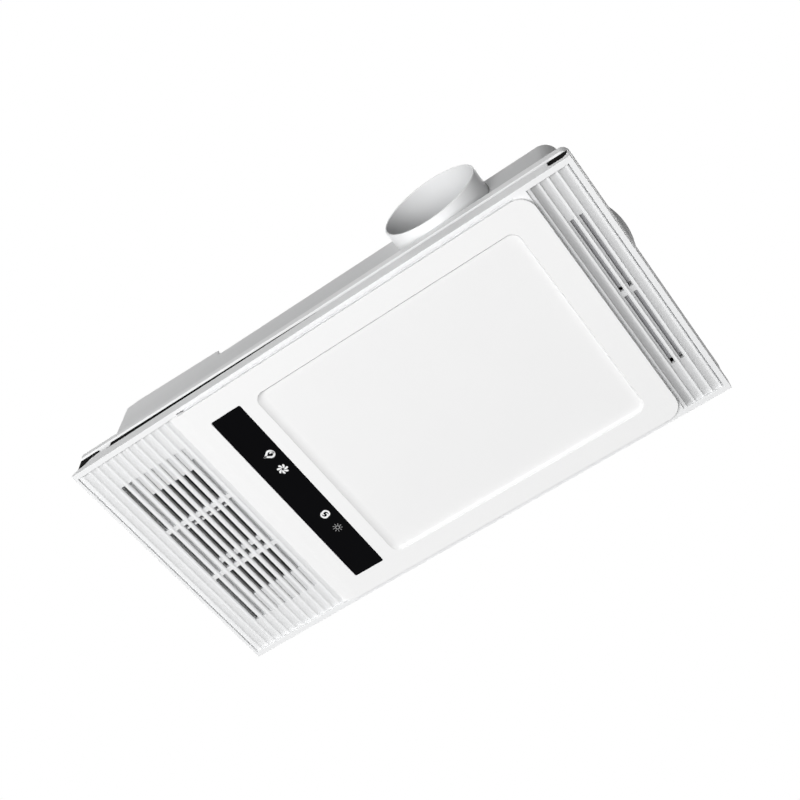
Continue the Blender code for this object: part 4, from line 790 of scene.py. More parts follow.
def screws(name, build, head_radius, height, facing, **values):
    """Pan-head screws with cross recesses, fixed to the body, their heads pointing along the facing axis."""
    recess_foot = 0.45 * height
    profile = [
        (0.55 * head_radius, height), (0.82 * head_radius, 0.86 * height), (head_radius, recess_foot),
        (head_radius, 0.0),
    ]
    bm = bmesh.new()
    rings = vertex_rings(bm, [[(x, y, z) for x, y in circle((0, 0), r, 20)] for r, z in profile])
    close_sides(bm, rings)
    bm.faces.new(rings[0])
    bm.faces.new(rings[-1][::-1])
    head = object_from("screw_head", bm)
    for along, across in ((1.1, 0.2), (0.2, 1.1)):
        x, y = along * head_radius / 2, across * head_radius / 2
        cut(head, box((-x, -y, recess_foot), (x, y, 2 * height)))
    head.data.transform(Vector((0, 0, 1)).rotation_difference(Vector(facing)).to_matrix().to_4x4())
    made = repeated(name, build, head, "bare_steel", **values)
    belongs(smoothed(made), "main_unit", "bright_steel")


# Face

def grille(name, look, zone, **values):
    """One ribbed grille between the two ends of its zone."""
    s = sizes()
    step = 0.4 * MM
    piece = grown(
        name, ribbed_grille, look, start=zone[0], end=zone[1], reach=RIB_REACH, pitch=s.rib_pitch,
        crest_width=s.crest_width, skew=s.scoop_skew, crest_level=CREST_LEVEL, back_level=PANEL_BACK,
        steps=round((zone[1] - zone[0]) / step) + 1, **values
    )
    if zone[0] < END_WALL:
        cut(piece, prism_y(END_SLOPE, -RIB_REACH - MM, RIB_REACH + MM))
    belongs(smoothed(piece, 38), "face", "white_plastic", "face_panel")


class HEATER_OT_face_panel(bpy.types.Operator):
    """Build the tray with its two ribbed grilles"""

    bl_idname = "heater.face_panel"
    bl_label = "Face Panel"

    def execute(self, context):
        s = sizes()
        first_left = PANEL_LOW.x + 7.7 * MM
        first_right = PANEL_HIGH.x - 8.4 * MM - 4 * s.rib_pitch
        left = (PANEL_LOW.x + 3.3 * MM, SHOULDER_START)
        right = (COVER_HIGH.x, PANEL_HIGH.x - 6.9 * MM)
        self.tray(left, right)
        grille(
            "outlet_grille", "outlet_moulding_painted_shade", left, first_crest=first_left, last_crest=left[1] + MM,
            scoop_depth=s.scoop_depth, slot_start=first_left + 2.4 * s.rib_pitch, slot_count=9,
            slot_width=s.outlet_slot_width, slot_reach=109 * MM, bays=3, crossbar=5.5 * MM,
        )
        grille(
            "intake_grille", "intake_moulding_painted_shade", right, first_crest=first_right, last_crest=right[1],
            scoop_depth=s.intake_scoop_depth, slot_start=first_right + 1.5 * s.rib_pitch, slot_count=2,
            slot_width=s.slot_width, slot_reach=94 * MM, bays=2, crossbar=6.4 * MM,
        )
        self.outlet_mask()
        self.intake_mesh()
        return {"FINISHED"}

    def tray(self, left, right):
        """The plain parts of the tray: rims, drafted walls with their notches, the ledge under the cover."""
        low, high = PANEL_LOW, PANEL_HIGH
        wall, ledge = 2.5 * MM, 6.5 * MM
        below = RIM_FACE - MM
        outline = [(low.x, RIM_FACE), (high.x, RIM_FACE), (high.x - 1.1 * MM, high.z), (low.x, high.z)]
        tray = object_from("face_tray", prism_y(outline, low.y, high.y), "white_moulding")
        cut(tray, prism_y(END_SLOPE, low.y - MM, high.y + MM))
        inner_low = (END_WALL + wall, low.y + wall, PANEL_BACK)
        cut(tray, box(inner_low, (high.x - wall - MM, high.y - wall, high.z + MM)))
        for start, end in (left, right):
            cut(tray, box((start, -RIB_REACH, below), (end, RIB_REACH, PANEL_BACK + 0.5 * MM)))
        reach = COVER_HIGH.y + 0.05 * MM
        cut(tray, box((left[1] - 0.1 * MM, -reach, below), (COVER_LOW.x + 3 * MM, reach, SHOULDER_BACK)))
        window = reach - ledge
        cut(tray, box((COVER_LOW.x + 2.9 * MM, -window, below), (COVER_HIGH.x - ledge, window, high.z + MM)))
        for side in (-1, 1):
            edge = side * COVER_HIGH.y
            y0, y1 = sorted((edge - side * MM, edge + side * 1.6 * MM))
            seam_end = (COVER_HIGH.x - 14 * MM, y1, RIM_FACE + 3.4 * MM)
            cut(tray, box((SHOULDER_START + 12 * MM, y0, below), seam_end))
            y0, y1 = sorted((side * (high.y - wall - 0.1 * MM), side * (high.y + MM)))
            cut(tray, prism_y(WALL_NOTCHES, y0, y1))
        groove_end = (right[1] + 1.5 * MM, RIB_REACH, RIM_FACE + 5.5 * MM)
        cut(tray, box((right[1] - 0.1 * MM, -RIB_REACH, below), groove_end))
        round_edges(tray, sizes().moulded_edge)
        belongs(tray, "face", "white_plastic", "face_panel")

    def outlet_mask(self):
        """Closed ends and crossbars behind the outlet's slots, moulded to the back of the tray. Their grey
        finish is painted shade behind the slots.
        """
        near, far = PANEL_BACK - 0.4 * MM, CREST_LEVEL + sizes().scoop_depth + 0.9 * MM
        x0, x1, end = -253.6 * MM, -181 * MM, 110 * MM
        last_slot, bar_end = x1 - 11.5 * MM, x1 - 12 * MM
        blocks = [
            ((x0, -end), (last_slot, -83.2 * MM), far), ((x0, 79.6 * MM), (x1, end), far),
            ((last_slot, -end), (x1, -93 * MM), far), ((x0, -30.4 * MM), (bar_end, -28.2 * MM), far),
            ((x0, 20.6 * MM), (bar_end, 27 * MM), far),
            ((last_slot, -93 * MM), (x1, 79.6 * MM), near), ((x0 - 9 * MM, -end), (x0, end), near),
        ]
        bm = bmesh.new()
        for low, high, level in blocks:
            add_prism(bm, rect(low, high), level, PANEL_BACK + 0.2 * MM)
        belongs(object_from("outlet_mask", bm, "mask_painted_shade"), "face", "white_plastic")

    def intake_mesh(self):
        """The fine filter mesh behind the intake's slots, one half on each side of the crossbar."""
        x0, x1 = COVER_HIGH.x + 10 * MM, PANEL_HIGH.x - 16 * MM
        wire, height, pitch = 1.05 * MM, 0.5 * MM, 1.5 * MM
        level = PANEL_BACK - 0.35 * MM
        over = level + 0.1 * MM
        for label, y0, y1 in (("far", -95 * MM, -6.6 * MM), ("near", 3.4 * MM, 89.5 * MM)):
            for way, low, high, space, step in (
                ("along_", (x0, y0, level), (x0 + wire, y1, level + height), x1 - x0, (pitch, 0, 0)),
                ("across_", (x0, y0, over), (x1, y0 + wire, over + height), y1 - y0, (0, pitch, 0)),
            ):
                wires = repeated(
                    "intake_mesh_" + way + label, row, object_from("wire", box(low, high)), "mesh_nylon",
                    count=round(space / pitch), start=(0, 0, 0), step=step,
                )
                belongs(wires, "face", "grey_plastic")


class HEATER_OT_cover(bpy.types.Operator):
    """Build the raised centre cover with its shoulder and its light field"""

    bl_idname = "heater.cover"
    bl_label = "Cover and Light Field"

    def execute(self, context):
        low, high = COVER_LOW, COVER_HIGH
        below = low.z - MM
        side = [
            (SHOULDER_START, SHOULDER_BACK - 0.1 * MM), (SHOULDER_START, SHOULDER_BACK - 0.3 * MM),
            (SHOULDER_END - 7 * MM, low.z + 1.5 * MM), (SHOULDER_END - 4.5 * MM, low.z + 0.55 * MM),
            (SHOULDER_END - 2.2 * MM, low.z + 0.12 * MM), (SHOULDER_END, low.z), (high.x, low.z),
            (high.x, high.z), (low.x + 2 * MM, high.z), (low.x + 0.5 * MM, SHOULDER_BACK - 0.1 * MM),
        ]
        cover = object_from("cover_shape", prism_y(side, low.y, high.y), "glossy_cover")
        corners = (MM, 18 * MM, 18 * MM, MM)
        plan = rounded((SHOULDER_START - 20 * MM, low.y), (high.x, high.y), corners)
        cut(cover, prism(plan, below, PANEL_BACK), "INTERSECT")
        cut(cover, prism(rounded(*LIGHT_EDGE, LIGHT_CORNER), below, high.z + MM))
        gap = 0.25 * MM
        (x0, y0), (x1, y1) = STRIP_EDGE
        hole = rounded((x0 - gap, y0 - gap), (x1 + gap, y1 + gap), STRIP_CORNER, 6)
        cut(cover, prism(hole, below, STRIP_HIGH.z + gap))
        round_edges(cover, 0.3 * MM)
        belongs(cover, "face", "cover_gloss", "cover_plate")
        self.light_field()
        return {"FINISHED"}

    def light_field(self):
        """The opal dish: slopes that ease out into a flat field, the longest one beside the strip."""
        s = sizes()
        top = COVER_LOW.z + 0.3 * MM
        (x0, y0), (x1, y1) = LIGHT_EDGE
        steps, ease = 14, 2.4
        levels = [(0.0, LIGHT_HIGH.z)]
        for i in range(steps + 1):
            share = i / steps
            levels.append((share, top + s.light_depth * (1 - (1 - share) ** ease)))
        loops = []
        for share, level in levels:
            side = share * s.light_slope
            low, high = (x0 + share * s.light_slope_left, y0 + side), (x1 - side, y1 - side)
            loops.append([(x, y, level) for x, y in rounded(low, high, LIGHT_CORNER - 0.6 * side)])
        bm = bmesh.new()
        rings = vertex_rings(bm, loops)
        close_sides(bm, rings)
        bm.faces.new(rings[0][::-1])
        bm.faces.new(rings[-1])
        plate = object_from("light_field", bm, "light_opal")
        belongs(smoothed(plate), "face", "light_acrylic", "light_diffuser")


# Touch strip

def ribbon(bm, path, widths, low, high):
    """Adds a printed line of changing width along an open path."""
    left, right = [], []
    for i, (x, y) in enumerate(path):
        ahead = path[min(i + 1, len(path) - 1)]
        behind = path[max(i - 1, 0)]
        run = Vector((ahead[0] - behind[0], ahead[1] - behind[1])).normalized()
        side = Vector((-run.y, run.x)) * widths[i] / 2
        left.append((x + side.x, y + side.y))
        right.append((x - side.x, y - side.y))
    for i in range(len(path) - 1):
        add_prism(bm, [left[i], left[i + 1], right[i + 1], right[i]], low, high)


def drop_symbol(bm, size, low, high):
    """A drop with a hook in it, for warm air."""
    radius, tip = 0.32 * size, 0.66 * size
    centre = -0.12 * size
    open_angle = math.acos(radius / (tip - centre))
    path = [(0.0, tip), (0.0, 0.62 * tip)]
    for i in range(33):
        a = math.pi / 2 + open_angle + (2 * math.pi - 2 * open_angle) * i / 32
        path.append((radius * math.cos(a), centre + radius * math.sin(a)))
    path += [(0.0, 0.62 * tip), (0.0, tip)]
    widths = [0.04 * size, 0.2 * size] + [0.19 * size] * 33 + [0.2 * size, 0.04 * size]
    ribbon(bm, path, widths, low, high)
    hook = []
    for i in range(9):
        reach, a = radius * (1 - i / 9), 0.25 * i - 1.9
        hook.append((reach * math.cos(a), centre + reach * math.sin(a)))
    ribbon(bm, hook, [0.2 * size - 0.012 * size * i for i in range(9)], low, high)


def swirl_symbol(bm, size, low, high):
    """Two commas that chase each other round an S-shaped gap, for exchanging air."""
    for turn in (0.35, 0.35 + math.pi):
        path, widths = [], []
        for i in range(31):
            share = i / 30
            a = turn + math.radians(262 * share)
            reach = size * (0.37 - 0.29 * max(0.0, (share - 0.5) / 0.5) ** 1.15)
            path.append((reach * math.cos(a) * 0.94, reach * math.sin(a)))
            widths.append(size * (0.06 + 0.13 * math.sin(math.pi * min(1.0, share * 1.05)) ** 0.7))
        ribbon(bm, path, widths, low, high)


def lamp_ring(bm, size, low, high):
    """The ring in the middle of the light's symbol."""
    turns = [math.radians(20 * i) for i in range(19)]
    path = [(0.2 * size * math.cos(a), 0.2 * size * math.sin(a)) for a in turns]
    ribbon(bm, path, [0.075 * size] * 19, low, high)


def petal(size):
    """One blade of the fan symbol, lying along X from the centre."""
    outline = []
    for i in range(16):
        a = 2 * math.pi * i / 16
        x = 0.29 * size + 0.21 * size * math.cos(a)
        y = 0.1 * size * math.sin(a) * (1 + 0.5 * math.cos(a)) + 0.07 * size * math.cos(a)
        outline.append((x, y))
    return outline


def ray(size):
    """One ray of the light's symbol."""
    return rect((0.3 * size, -0.028 * size), (0.5 * size, 0.028 * size))


class HEATER_OT_touch_strip(bpy.types.Operator):
    """Build the black strip and its printed symbols"""

    bl_idname = "heater.touch_strip"
    bl_label = "Touch Strip"

    def execute(self, context):
        face = STRIP_LOW.z + 0.06 * MM
        outline = rounded(*STRIP_EDGE, STRIP_CORNER, 6)
        glass = object_from("strip_glass_plate", prism(outline, face, STRIP_HIGH.z), "strip_glass")
        round_edges(glass, 0.3 * MM)
        belongs(glass, "face", "black_glass", "display_glass")
        size = sizes().symbol_size
        lamp_size = size * 0.88
        low, high = face - 0.04 * MM, face + 0.02 * MM
        heat, fan, air, light = -56.5 * MM, -34.8 * MM, 35.4 * MM, 56.5 * MM
        for draw, drawn_size, ink, y in (
            (drop_symbol, size, "symbol_print", heat), (swirl_symbol, size, "symbol_print", air),
            (lamp_ring, lamp_size, "symbol_print_dim", light),
        ):
            bm = bmesh.new()
            draw(bm, drawn_size, low, high)
            self.stand(object_from(draw.__name__, bm, ink), y)
        for name, outline, ink, count, y in (
            ("fan_symbol", petal(size), "symbol_print", 7, fan),
            ("light_rays", ray(lamp_size), "symbol_print_dim", 9, light),
        ):
            blade = object_from("blade", prism(outline, low, high))
            self.stand(repeated(name, ring, blade, ink, count=count), y)
        return {"FINISHED"}

    def stand(self, symbol, y):
        """Turns a symbol so that it reads with its top towards the outlet, and puts it in its place."""
        x = (STRIP_LOW.x + STRIP_HIGH.x) / 2 + 5.8 * MM
        symbol.data.transform(Matrix(((0, -1, 0, x), (-1, 0, 0, y), (0, 0, 1, 0), (0, 0, 0, 1))))
        symbol.data.flip_normals()
        belongs(symbol, "face", "white_plastic")


# Frame, body and collar

class HEATER_OT_mounting_frame(bpy.types.Operator):
    """Build the mounting frame round the body"""

    bl_idname = "heater.mounting_frame"
    bl_label = "Mounting Frame"

    def execute(self, context):
        piece = object_from("mounting_frame_shape", ring_solid(self.loops()), "frame_paint")
        for i in range(1, 5):
            low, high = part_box(f"spring_clip_{i}")
            middle = (high.y if high.y > 0 else low.y) - math.copysign(0.4 * MM, high.y)
            hole_low = (low.x - 0.3 * MM, middle - 1.5 * MM, FRAME_LOW.z - MM)
            cut(piece, box(hole_low, (high.x + 0.3 * MM, middle + 1.5 * MM, FRAME_LOW.z + 3 * MM)))
        round_edges(piece, 0.5 * MM)
        belongs(piece, "main_unit", "painted_steel", "mounting_frame")
        self.seal()
        return {"FINISHED"}

    def fold(self, x):
        """Height of the sloping fold, which narrows from the outlet end to the intake end."""
        return sizes().frame_fold - x * (0.0205 if x < 0 else 0.003)

    def loop(self, inset, level):
        """One loop of the frame; its inset from the outer edge and its level may change along X."""
        low, high = FRAME_LOW, FRAME_HIGH - Vector((1.6 * MM, 0, 0))
        outline = rounded(low, high, (4 * MM, 8 * MM, 8 * MM, 4 * MM))
        side = len(outline) // 4
        middle = 3 * side
        outline = outline[:side] + [(0.0, low.y)] + outline[side:middle] + [(0.0, high.y)] + outline[middle:]
        points = []
        for x, y in outline:
            move = inset(x)
            points.append((x * (1 - move / high.x), y * (1 - move / high.y), level(x)))
        return points

    def loops(self):
        """The folded sheet's section: wall, sloping fold, flat flange and back up inside."""
        metal, rim, taper = 1.5 * MM, 31 * MM, 0.012
        base = FRAME_LOW.z

        def top(x):
            return FRAME_HIGH.z - taper * min(x, 0.0)

        return [
            self.loop(lambda x: 0.0, top), self.loop(lambda x: 0.0, lambda x: base + self.fold(x)),
            self.loop(self.fold, lambda x: base), self.loop(lambda x: rim, lambda x: base),
            self.loop(lambda x: rim, lambda x: base + metal),
            self.loop(lambda x: self.fold(x) + 0.4 * metal, lambda x: base + metal),
            self.loop(lambda x: metal, lambda x: base + self.fold(x) + 0.4 * metal),
            self.loop(lambda x: metal, top),
        ]

    def seal(self):
        """The black foam strips between the frame and the face, seen through the wall's notches. Partly a real
        seal, their black and their crest line also stand in for the shadow in that gap: painted shadow.
        """
        outer, inner = FRAME_HIGH.y - 1.4 * MM, FRAME_HIGH.y - 4.8 * MM
        foot = PANEL_BACK + 0.5 * MM
        outline = [(-297 * MM, foot), (297.5 * MM, foot)] + FOAM_SHADOW_CREST
        bm = bmesh.new()
        for y0, y1 in ((-outer, -inner), (inner, outer)):
            add_prism(bm, outline, y0, y1)
        lay_along_y(bm)
        reach = inner - 0.5 * MM
        for x, top in ((-297 * MM, 9 * MM), (289 * MM, -0.2 * MM)):
            add_prism(bm, rect((x, -reach), (x + 3.5 * MM, reach)), foot, top)
        belongs(object_from("foam_seal", bm, "black_foam_painted_shadow"), "main_unit", "dark_plastic")


class HEATER_OT_body(bpy.types.Operator):
    """Build the painted sheet body with its screws and pressed seams"""

    bl_idname = "heater.body"
    bl_label = "Body"

    def execute(self, context):
        shell = self.solid(0)
        cut(shell, self.solid(1.5 * MM))
        cut(shell, prism_y(circle(COLLAR_CENTRE, 53.8 * MM), BODY_LOW.y - MM, BODY_LOW.y + 3 * MM))
        low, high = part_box("cable_gland")
        gland = ((low.x + high.x) / 2, (low.z + high.z) / 2)
        cut(shell, prism_y(circle(gland, 8.3 * MM, 32), BODY_HIGH.y - 3 * MM, BODY_HIGH.y + MM))
        cut(shell, self.vent_slots())
        round_edges(shell, sizes().folded_edge, 3, 40)
        belongs(shell, "main_unit", "painted_steel", "main_housing")
        self.wall_screws()
        self.motor_boss()
        self.roof_beads()
        self.access_plate(gland)
        self.base_seam()
        return {"FINISHED"}

    def solid(self, inset):
        """The body's outer space, or the space inside its sheet, open below."""
        end, reach = BODY_HIGH.x - 14 * MM, BODY_HIGH.y
        left = BODY_LOW.x
        outline = [
            (left, BODY_LOW.z), (end, BODY_LOW.z), (end, ROOF), (-140 * MM, ROOF),
            (-143 * MM, ROOF + 11 * MM), (left + 26.5 * MM, ROOF + 16.5 * MM),
            (left + 11.5 * MM, ROOF + 14.3 * MM),
        ]
        foot = -10 * MM if inset else 0
        outline = inset_outline(outline, [foot] + [inset] * 6)
        body = object_from("body_shell", prism_y(outline, inset - reach, reach - inset), "body_paint")
        radii = (3 * MM - inset, 16 * MM - inset, 16 * MM - inset, 3 * MM - inset)
        plan = rounded((left + inset, inset - reach), (end - inset, reach - inset), radii)
        cut(body, prism(plan, -0.1, 0.3), "INTERSECT")
        low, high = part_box("impeller")
        hub = ((low.x + high.x) / 2, (low.y + high.y) / 2)
        cut(body, prism(circle(hub, 79 * MM - inset, 128), BODY_LOW.z + foot, ROOF - inset), "UNION")
        dome = circle(COLLAR_CENTRE, 57 * MM - inset, 128)
        cut(body, prism_y(dome, inset - reach, -20.5 * MM - inset), "UNION")
        return body

    def vent_slots(self):
        """Cutters of the motor's cooling slots in the back wall."""
        y = BODY_HIGH.y
        outline = rounded((-1.4 * MM, 64 * MM), (1.4 * MM, 88 * MM), 1.4 * MM, 4)
        slot = object_from("slot", prism_y(outline, y - 4 * MM, y + 4 * MM))
        first, step = (36 * MM, 0, 0), (8 * MM, 0, 0)
        return repeated("vent_slots", row, slot, "body_paint", count=9, start=first, step=step)

    def plate(self, name, bm, edge):
        """A thin piece of painted sheet with soft edges."""
        piece = object_from(name, bm, "body_paint")
        round_edges(piece, edge, 3)
        belongs(piece, "main_unit", "painted_steel")

    def wall_screws(self):
        """Pan-head screws low on both long walls."""
        count = sizes().screw_count
        first, last = -250 * MM, 250 * MM
        step = ((last - first) / (count - 1), 0, 0)
        for side, label in ((-1, "front"), (1, "back")):
            seat = side * WALL - side * 0.1 * MM
            screws(
                "wall_screws_" + label, row, 3.4 * MM, 1.9 * MM, (0, side, 0), count=count,
                start=(first, seat, 20 * MM), step=step,
            )

    def motor_boss(self):
        """The round plate over the motor and its four screws."""
        low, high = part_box("motor_case")
        hub = ((low.x + high.x) / 2, (low.y + high.y) / 2)
        self.plate("motor_boss", prism(circle(hub, 46 * MM), ROOF - 0.2 * MM, ROOF + 1.8 * MM), 1.2 * MM)
        screws(
            "motor_boss_screws", ring, 3.4 * MM, 1.9 * MM, (0, 0, 1), count=4, radius=37 * MM,
            centre=(hub[0], hub[1], ROOF + 1.7 * MM), first_angle=0.785,
        )

    def roof_beads(self):
        """Pressed beads that stiffen the low roof."""
        outline = rounded((-122 * MM, -3.5 * MM), (72 * MM, 3.5 * MM), 3.4 * MM, 8)
        bead = object_from("bead", prism(outline, ROOF - 0.2 * MM, ROOF + 1.6 * MM))
        first, step = (0, -84 * MM, 0), (0, 42 * MM, 0)
        beads = repeated("roof_beads", row, bead, "body_paint", count=5, start=first, step=step)
        round_edges(beads, 1.3 * MM, 3)
        belongs(beads, "main_unit", "painted_steel")

    def access_plate(self, gland):
        """The plate over the terminals in the back wall, with a screw in each corner."""
        wall, inset = BODY_HIGH.y, 6 * MM
        x0, x1, z0, z1 = gland[0] - 86 * MM, gland[0] - 16 * MM, 26 * MM, 91 * MM
        outline = rounded((x0, z0), (x1, z1), 3 * MM, 5)
        self.plate("access_plate", prism_y(outline, wall - 0.2 * MM, wall + 1.2 * MM), 0.4 * MM)
        for z, label in ((z0 + inset, "low"), (z1 - inset, "high")):
            screws(
                "access_screws_" + label, row, 2.8 * MM, 1.6 * MM, (0, 1, 0), count=2,
                start=(x0 + inset, wall + 1.1 * MM, z), step=(x1 - x0 - 2 * inset, 0, 0),
            )

    def base_seam(self):
        """The folded strip along the foot of the long walls."""
        for side, label in ((-1, "front"), (1, "back")):
            y0, y1 = sorted((side * WALL + side * 1.2 * MM, side * WALL - side * 0.3 * MM))
            bm = box((-278 * MM, y0, 2.2 * MM), (262 * MM, y1, 13.5 * MM))
            strip = object_from("base_seam_" + label, bm, "body_paint")
            round_edges(strip, 0.4 * MM)
            belongs(strip, "main_unit", "painted_steel")


class HEATER_OT_collar(bpy.types.Operator):
    """Build the duct collar and its backflow flaps"""

    bl_idname = "heater.collar"
    bl_label = "Collar and Flaps"

    def execute(self, context):
        mouth, inner_end = COLLAR_LOW.y, COLLAR_HIGH.y
        seat = 1.8 * MM - WALL
        outside, inside, bead = 53.5 * MM, 51 * MM, 55.1 * MM
        profile = [
            (inside, mouth + 1.2 * MM), (inside + 0.3 * MM, mouth + 0.4 * MM), (inside + 0.9 * MM, mouth),
            (outside - 0.9 * MM, mouth), (outside - 0.3 * MM, mouth + 0.4 * MM), (outside, mouth + 1.2 * MM),
            (outside, seat), (bead, seat), (bead, seat + 2 * MM), (outside, seat + 2 * MM),
            (outside, inner_end), (inside, inner_end),
        ]
        tube = object_from("collar_shape", turned(profile, COLLAR_CENTRE), "white_moulding")
        for vertex in tube.data.vertices:
            if vertex.co.y < mouth + 10 * MM:
                vertex.co.y += sizes().mouth_lean * (vertex.co.z - COLLAR_LOW.z)
        x, z = COLLAR_CENTRE
        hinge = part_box("backflow_flap_left")[1].y - 3.05 * MM
        cut(tube, prism(circle((x, hinge), 1.5 * MM, 20), z - 52 * MM, z + 52 * MM), "UNION")
        # The tube's inner faces take a greyer finish: painted shade inside the collar
        tube.data.materials.append(finish("collar_inside_painted_shade"))
        for face in tube.data.polygons:
            across = Vector((face.center.x - x, 0, face.center.z - z))
            if across.length < inside + 0.2 * MM and face.normal.dot(across) < 0:
                face.material_index = 1
        belongs(smoothed(tube), "main_unit", "white_plastic", "outlet_collar")
        for side in ("left", "right"):
            refined("backflow_flap_" + side, "flap_" + side, "grey_plastic", "grey_moulding", 0.25 * MM)
        return {"FINISHED"}


# Outlet and inner pieces

class HEATER_OT_louvre(bpy.types.Operator):
    """Round the vanes, their link and the louvre frame"""

    bl_idname = "heater.louvre"
    bl_label = "Louvre"

    def execute(self, context):
        refined("louvre_frame", "main_unit", "white_plastic", "white_moulding", 0.3 * MM)
        for i in range(1, 9):
            refined(f"vane_{i}", f"vane_{i}", "white_plastic", "white_moulding", 0.4 * MM)
        refined("vane_link", "vane_link", "grey_plastic", "grey_moulding", 0.25 * MM)
        return {"FINISHED"}


class HEATER_OT_inner_parts(bpy.types.Operator):
    """Give the remaining pieces their finishes"""

    bl_idname = "heater.inner_parts"
    bl_label = "Inner Parts"

    LOOKS = {
        "white_moulding": ("led_driver", "inlet_ring", "air_duct", "damper_flap", "terminal_block"),
        "grey_moulding": ("heater_frame", "control_box", "control_box_lid"),
        "dark_moulding": ("scroll_housing", "impeller", "run_capacitor", "cable_gland"),
        "lamp_board": ("led_board",),
        "circuit_board": ("display_board",),
        "zinc_sheet": (
            "light_tray", "motor_case", "damper_motor", "exhaust_baffle", "heater_hood", "vane_motor",
        ),
        "bare_steel": (
            "motor_rotor", "motor_screw_1", "motor_screw_2", "motor_screw_3", "spring_clip_1",
            "spring_clip_2", "spring_clip_3", "spring_clip_4",
        ),
        "fin_aluminium": ("heating_element_1", "heating_element_2", "heating_element_3"),
        "stator_stack": ("motor_stator",),
    }

    def execute(self, context):
        for look, nodes in self.LOOKS.items():
            for node in nodes:
                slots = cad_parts[node].material_slots
                if not slots:
                    raise RuntimeError(node + " has no material slot")
                for slot in slots:
                    slot.material = finish(look)
        return {"FINISHED"}


# Stage

LENS = dict(sensor_width=36, lens=62.767, shift_x=-0.06994, shift_y=-0.00897)
CAMERA_PLACE = (0.46045, -0.617145, -1.187555)
CAMERA_RIGHT = (0.82105538, 0.57017982, -0.02762316)
CAMERA_UP = (0.49719483, -0.69050585, 0.52535604)
CAMERA_BACK = (0.28047345, -0.4450805, -0.850434)
AIM = Vector((0, 0, 0.03))
# Each lamp's place, its side's length and its power in watts
LAMPS = {
    "key_lamp": ((-0.9, -2.3, -4.6), 3.4, 306.0),
    "ceiling_lamp": ((-0.3, 0.4, 2.2), 1.8, 34.0),
    "side_lamp": ((-1.6, -3.0, 0.3), 2.0, 6.0),
}
WHITE = (1, 1, 1, 1)
ROOM_LIGHT = 0.09
FLOOR_LEVEL = -6.4
FLOOR_REACH = 40


def blended(t, amount, first, second):
    """A mix of two shaders."""
    return t.add("ShaderNodeMixShader", i0=amount, i1=first, i2=second).outputs[0]


def seen(t):
    """1 for rays that see or mirror a surface, 0 for those that it lights."""
    path = t.add("ShaderNodeLightPath").outputs
    shown = t.calc("MAXIMUM", path["Is Camera Ray"], path["Is Transmission Ray"])
    return t.calc("MAXIMUM", shown, path["Is Glossy Ray"])


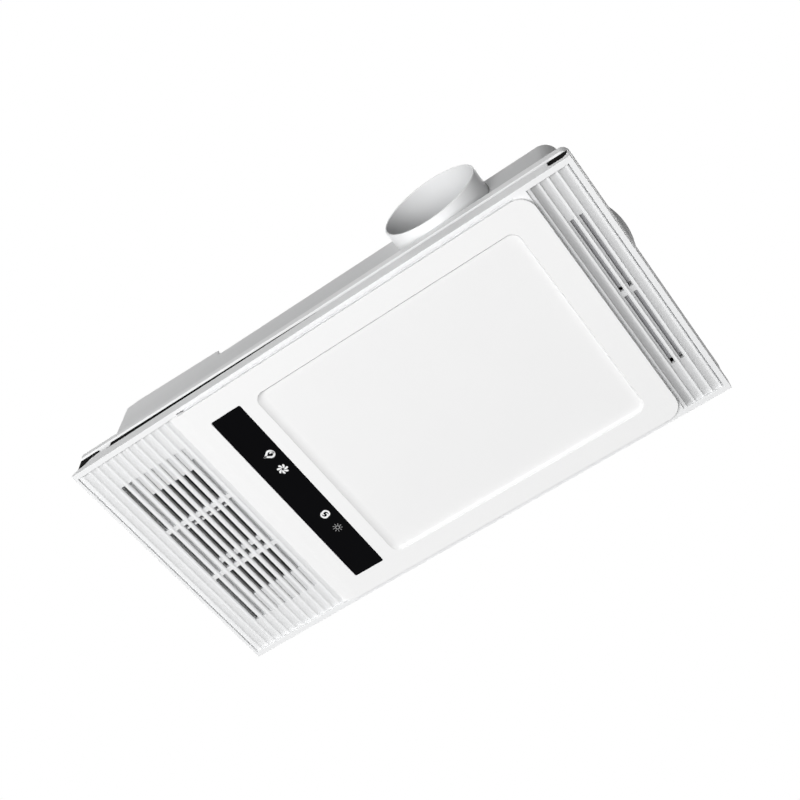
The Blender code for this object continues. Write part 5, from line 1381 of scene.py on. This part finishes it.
class HEATER_OT_stage(bpy.types.Operator):
    """Set up the camera, the lamps, the world and the floor"""

    bl_idname = "heater.stage"
    bl_label = "Stage"

    def execute(self, context):
        scene = context.scene
        scene.view_settings.view_transform = "Standard"
        self.camera(scene)
        self.world(scene)
        self.floor()
        for name, (place, size, power) in LAMPS.items():
            self.lamp(name, place, size, power)
        return {"FINISHED"}

    def camera(self, scene):
        """The photograph's viewpoint, below the face and off its corner."""
        data = bpy.data.cameras.new("photo_view")
        for key, value in LENS.items():
            setattr(data, key, value)
        camera = bpy.data.objects.new("photo_view", data)
        turn = Matrix((CAMERA_RIGHT, CAMERA_UP, CAMERA_BACK)).transposed().to_4x4()
        camera.matrix_world = Matrix.Translation(CAMERA_PLACE) @ turn
        scene.collection.objects.link(camera)
        scene.camera = camera

    def world(self, scene):
        """White where it is seen or mirrored, and a plain level of light elsewhere."""
        world = bpy.data.worlds.new("studio")
        world.use_nodes = True
        t = Tree(world.node_tree)
        white = t.set(t.tree.nodes["Background"], color=WHITE, strength=1.0)
        lit = t.add("ShaderNodeBackground", color=WHITE, strength=ROOM_LIGHT)
        mixed = blended(t, seen(t), lit.outputs[0], white.outputs[0])
        t.set(t.tree.nodes["World Output"], surface=mixed)
        scene.world = world

    def floor(self):
        """The room's pale floor, far below the ceiling."""
        corner = (FLOOR_REACH, FLOOR_REACH)
        bm = bmesh.new()
        bm.faces.new(vertex_rings(bm, [
            [(x, y, FLOOR_LEVEL) for x, y in rect((-FLOOR_REACH, -FLOOR_REACH), corner)]
        ])[0])
        material = bpy.data.materials.new("floor")
        material.use_nodes = True
        t = Tree(material.node_tree)
        shader = t.set(t.tree.nodes["Principled BSDF"], base_color=PALE, roughness=0.9)
        glow = t.add("ShaderNodeEmission", strength=1.0)
        mixed = blended(t, t.calc("MULTIPLY", seen(t), 0.9), shader.outputs[0], glow.outputs[0])
        t.set(t.tree.nodes["Material Output"], surface=mixed)
        floor = object_from("floor", bm, "floor")

    def lamp(self, name, place, size, power):
        """A square soft lamp aimed at the heater."""
        data = bpy.data.lights.new(name, "AREA")
        data.size = size
        data.energy = power
        lamp = bpy.data.objects.new(name, data)
        lamp.location = place
        lamp.rotation_euler = (AIM - Vector(place)).to_track_quat("-Z", "Y").to_euler()
        bpy.context.scene.collection.objects.link(lamp)


# Panel and registration

STEPS = (
    HEATER_OT_stage, HEATER_OT_face_panel, HEATER_OT_cover, HEATER_OT_touch_strip, HEATER_OT_mounting_frame,
    HEATER_OT_body, HEATER_OT_collar, HEATER_OT_louvre, HEATER_OT_inner_parts,
)


class HEATER_PT_sidebar(bpy.types.Panel):
    """Lists the heater's settings and its building steps"""

    bl_idname = "HEATER_PT_sidebar"
    bl_label = "Ceiling Heater"
    bl_space_type = "VIEW_3D"
    bl_region_type = "UI"
    bl_category = "Heater"

    def draw(self, context):
        settings = context.scene.heater
        for group in (settings.sizes, settings.colours):
            for name in group.__annotations__:
                self.layout.prop(group, name)
        for step in STEPS:
            self.layout.operator(step.bl_idname)


CLASSES = (HeaterSizes, HeaterColours, HeaterSettings) + STEPS + (HEATER_PT_sidebar,)


def register():
    for each in CLASSES:
        bpy.utils.register_class(each)
    bpy.types.Scene.heater = PointerProperty(type=HeaterSettings)


def unregister():
    del bpy.types.Scene.heater
    for each in reversed(CLASSES):
        bpy.utils.unregister_class(each)


def main():
    register()
    for step in STEPS:
        group, name = step.bl_idname.split(".")
        getattr(getattr(bpy.ops, group), name)()


if __name__ == "__main__":
    main()
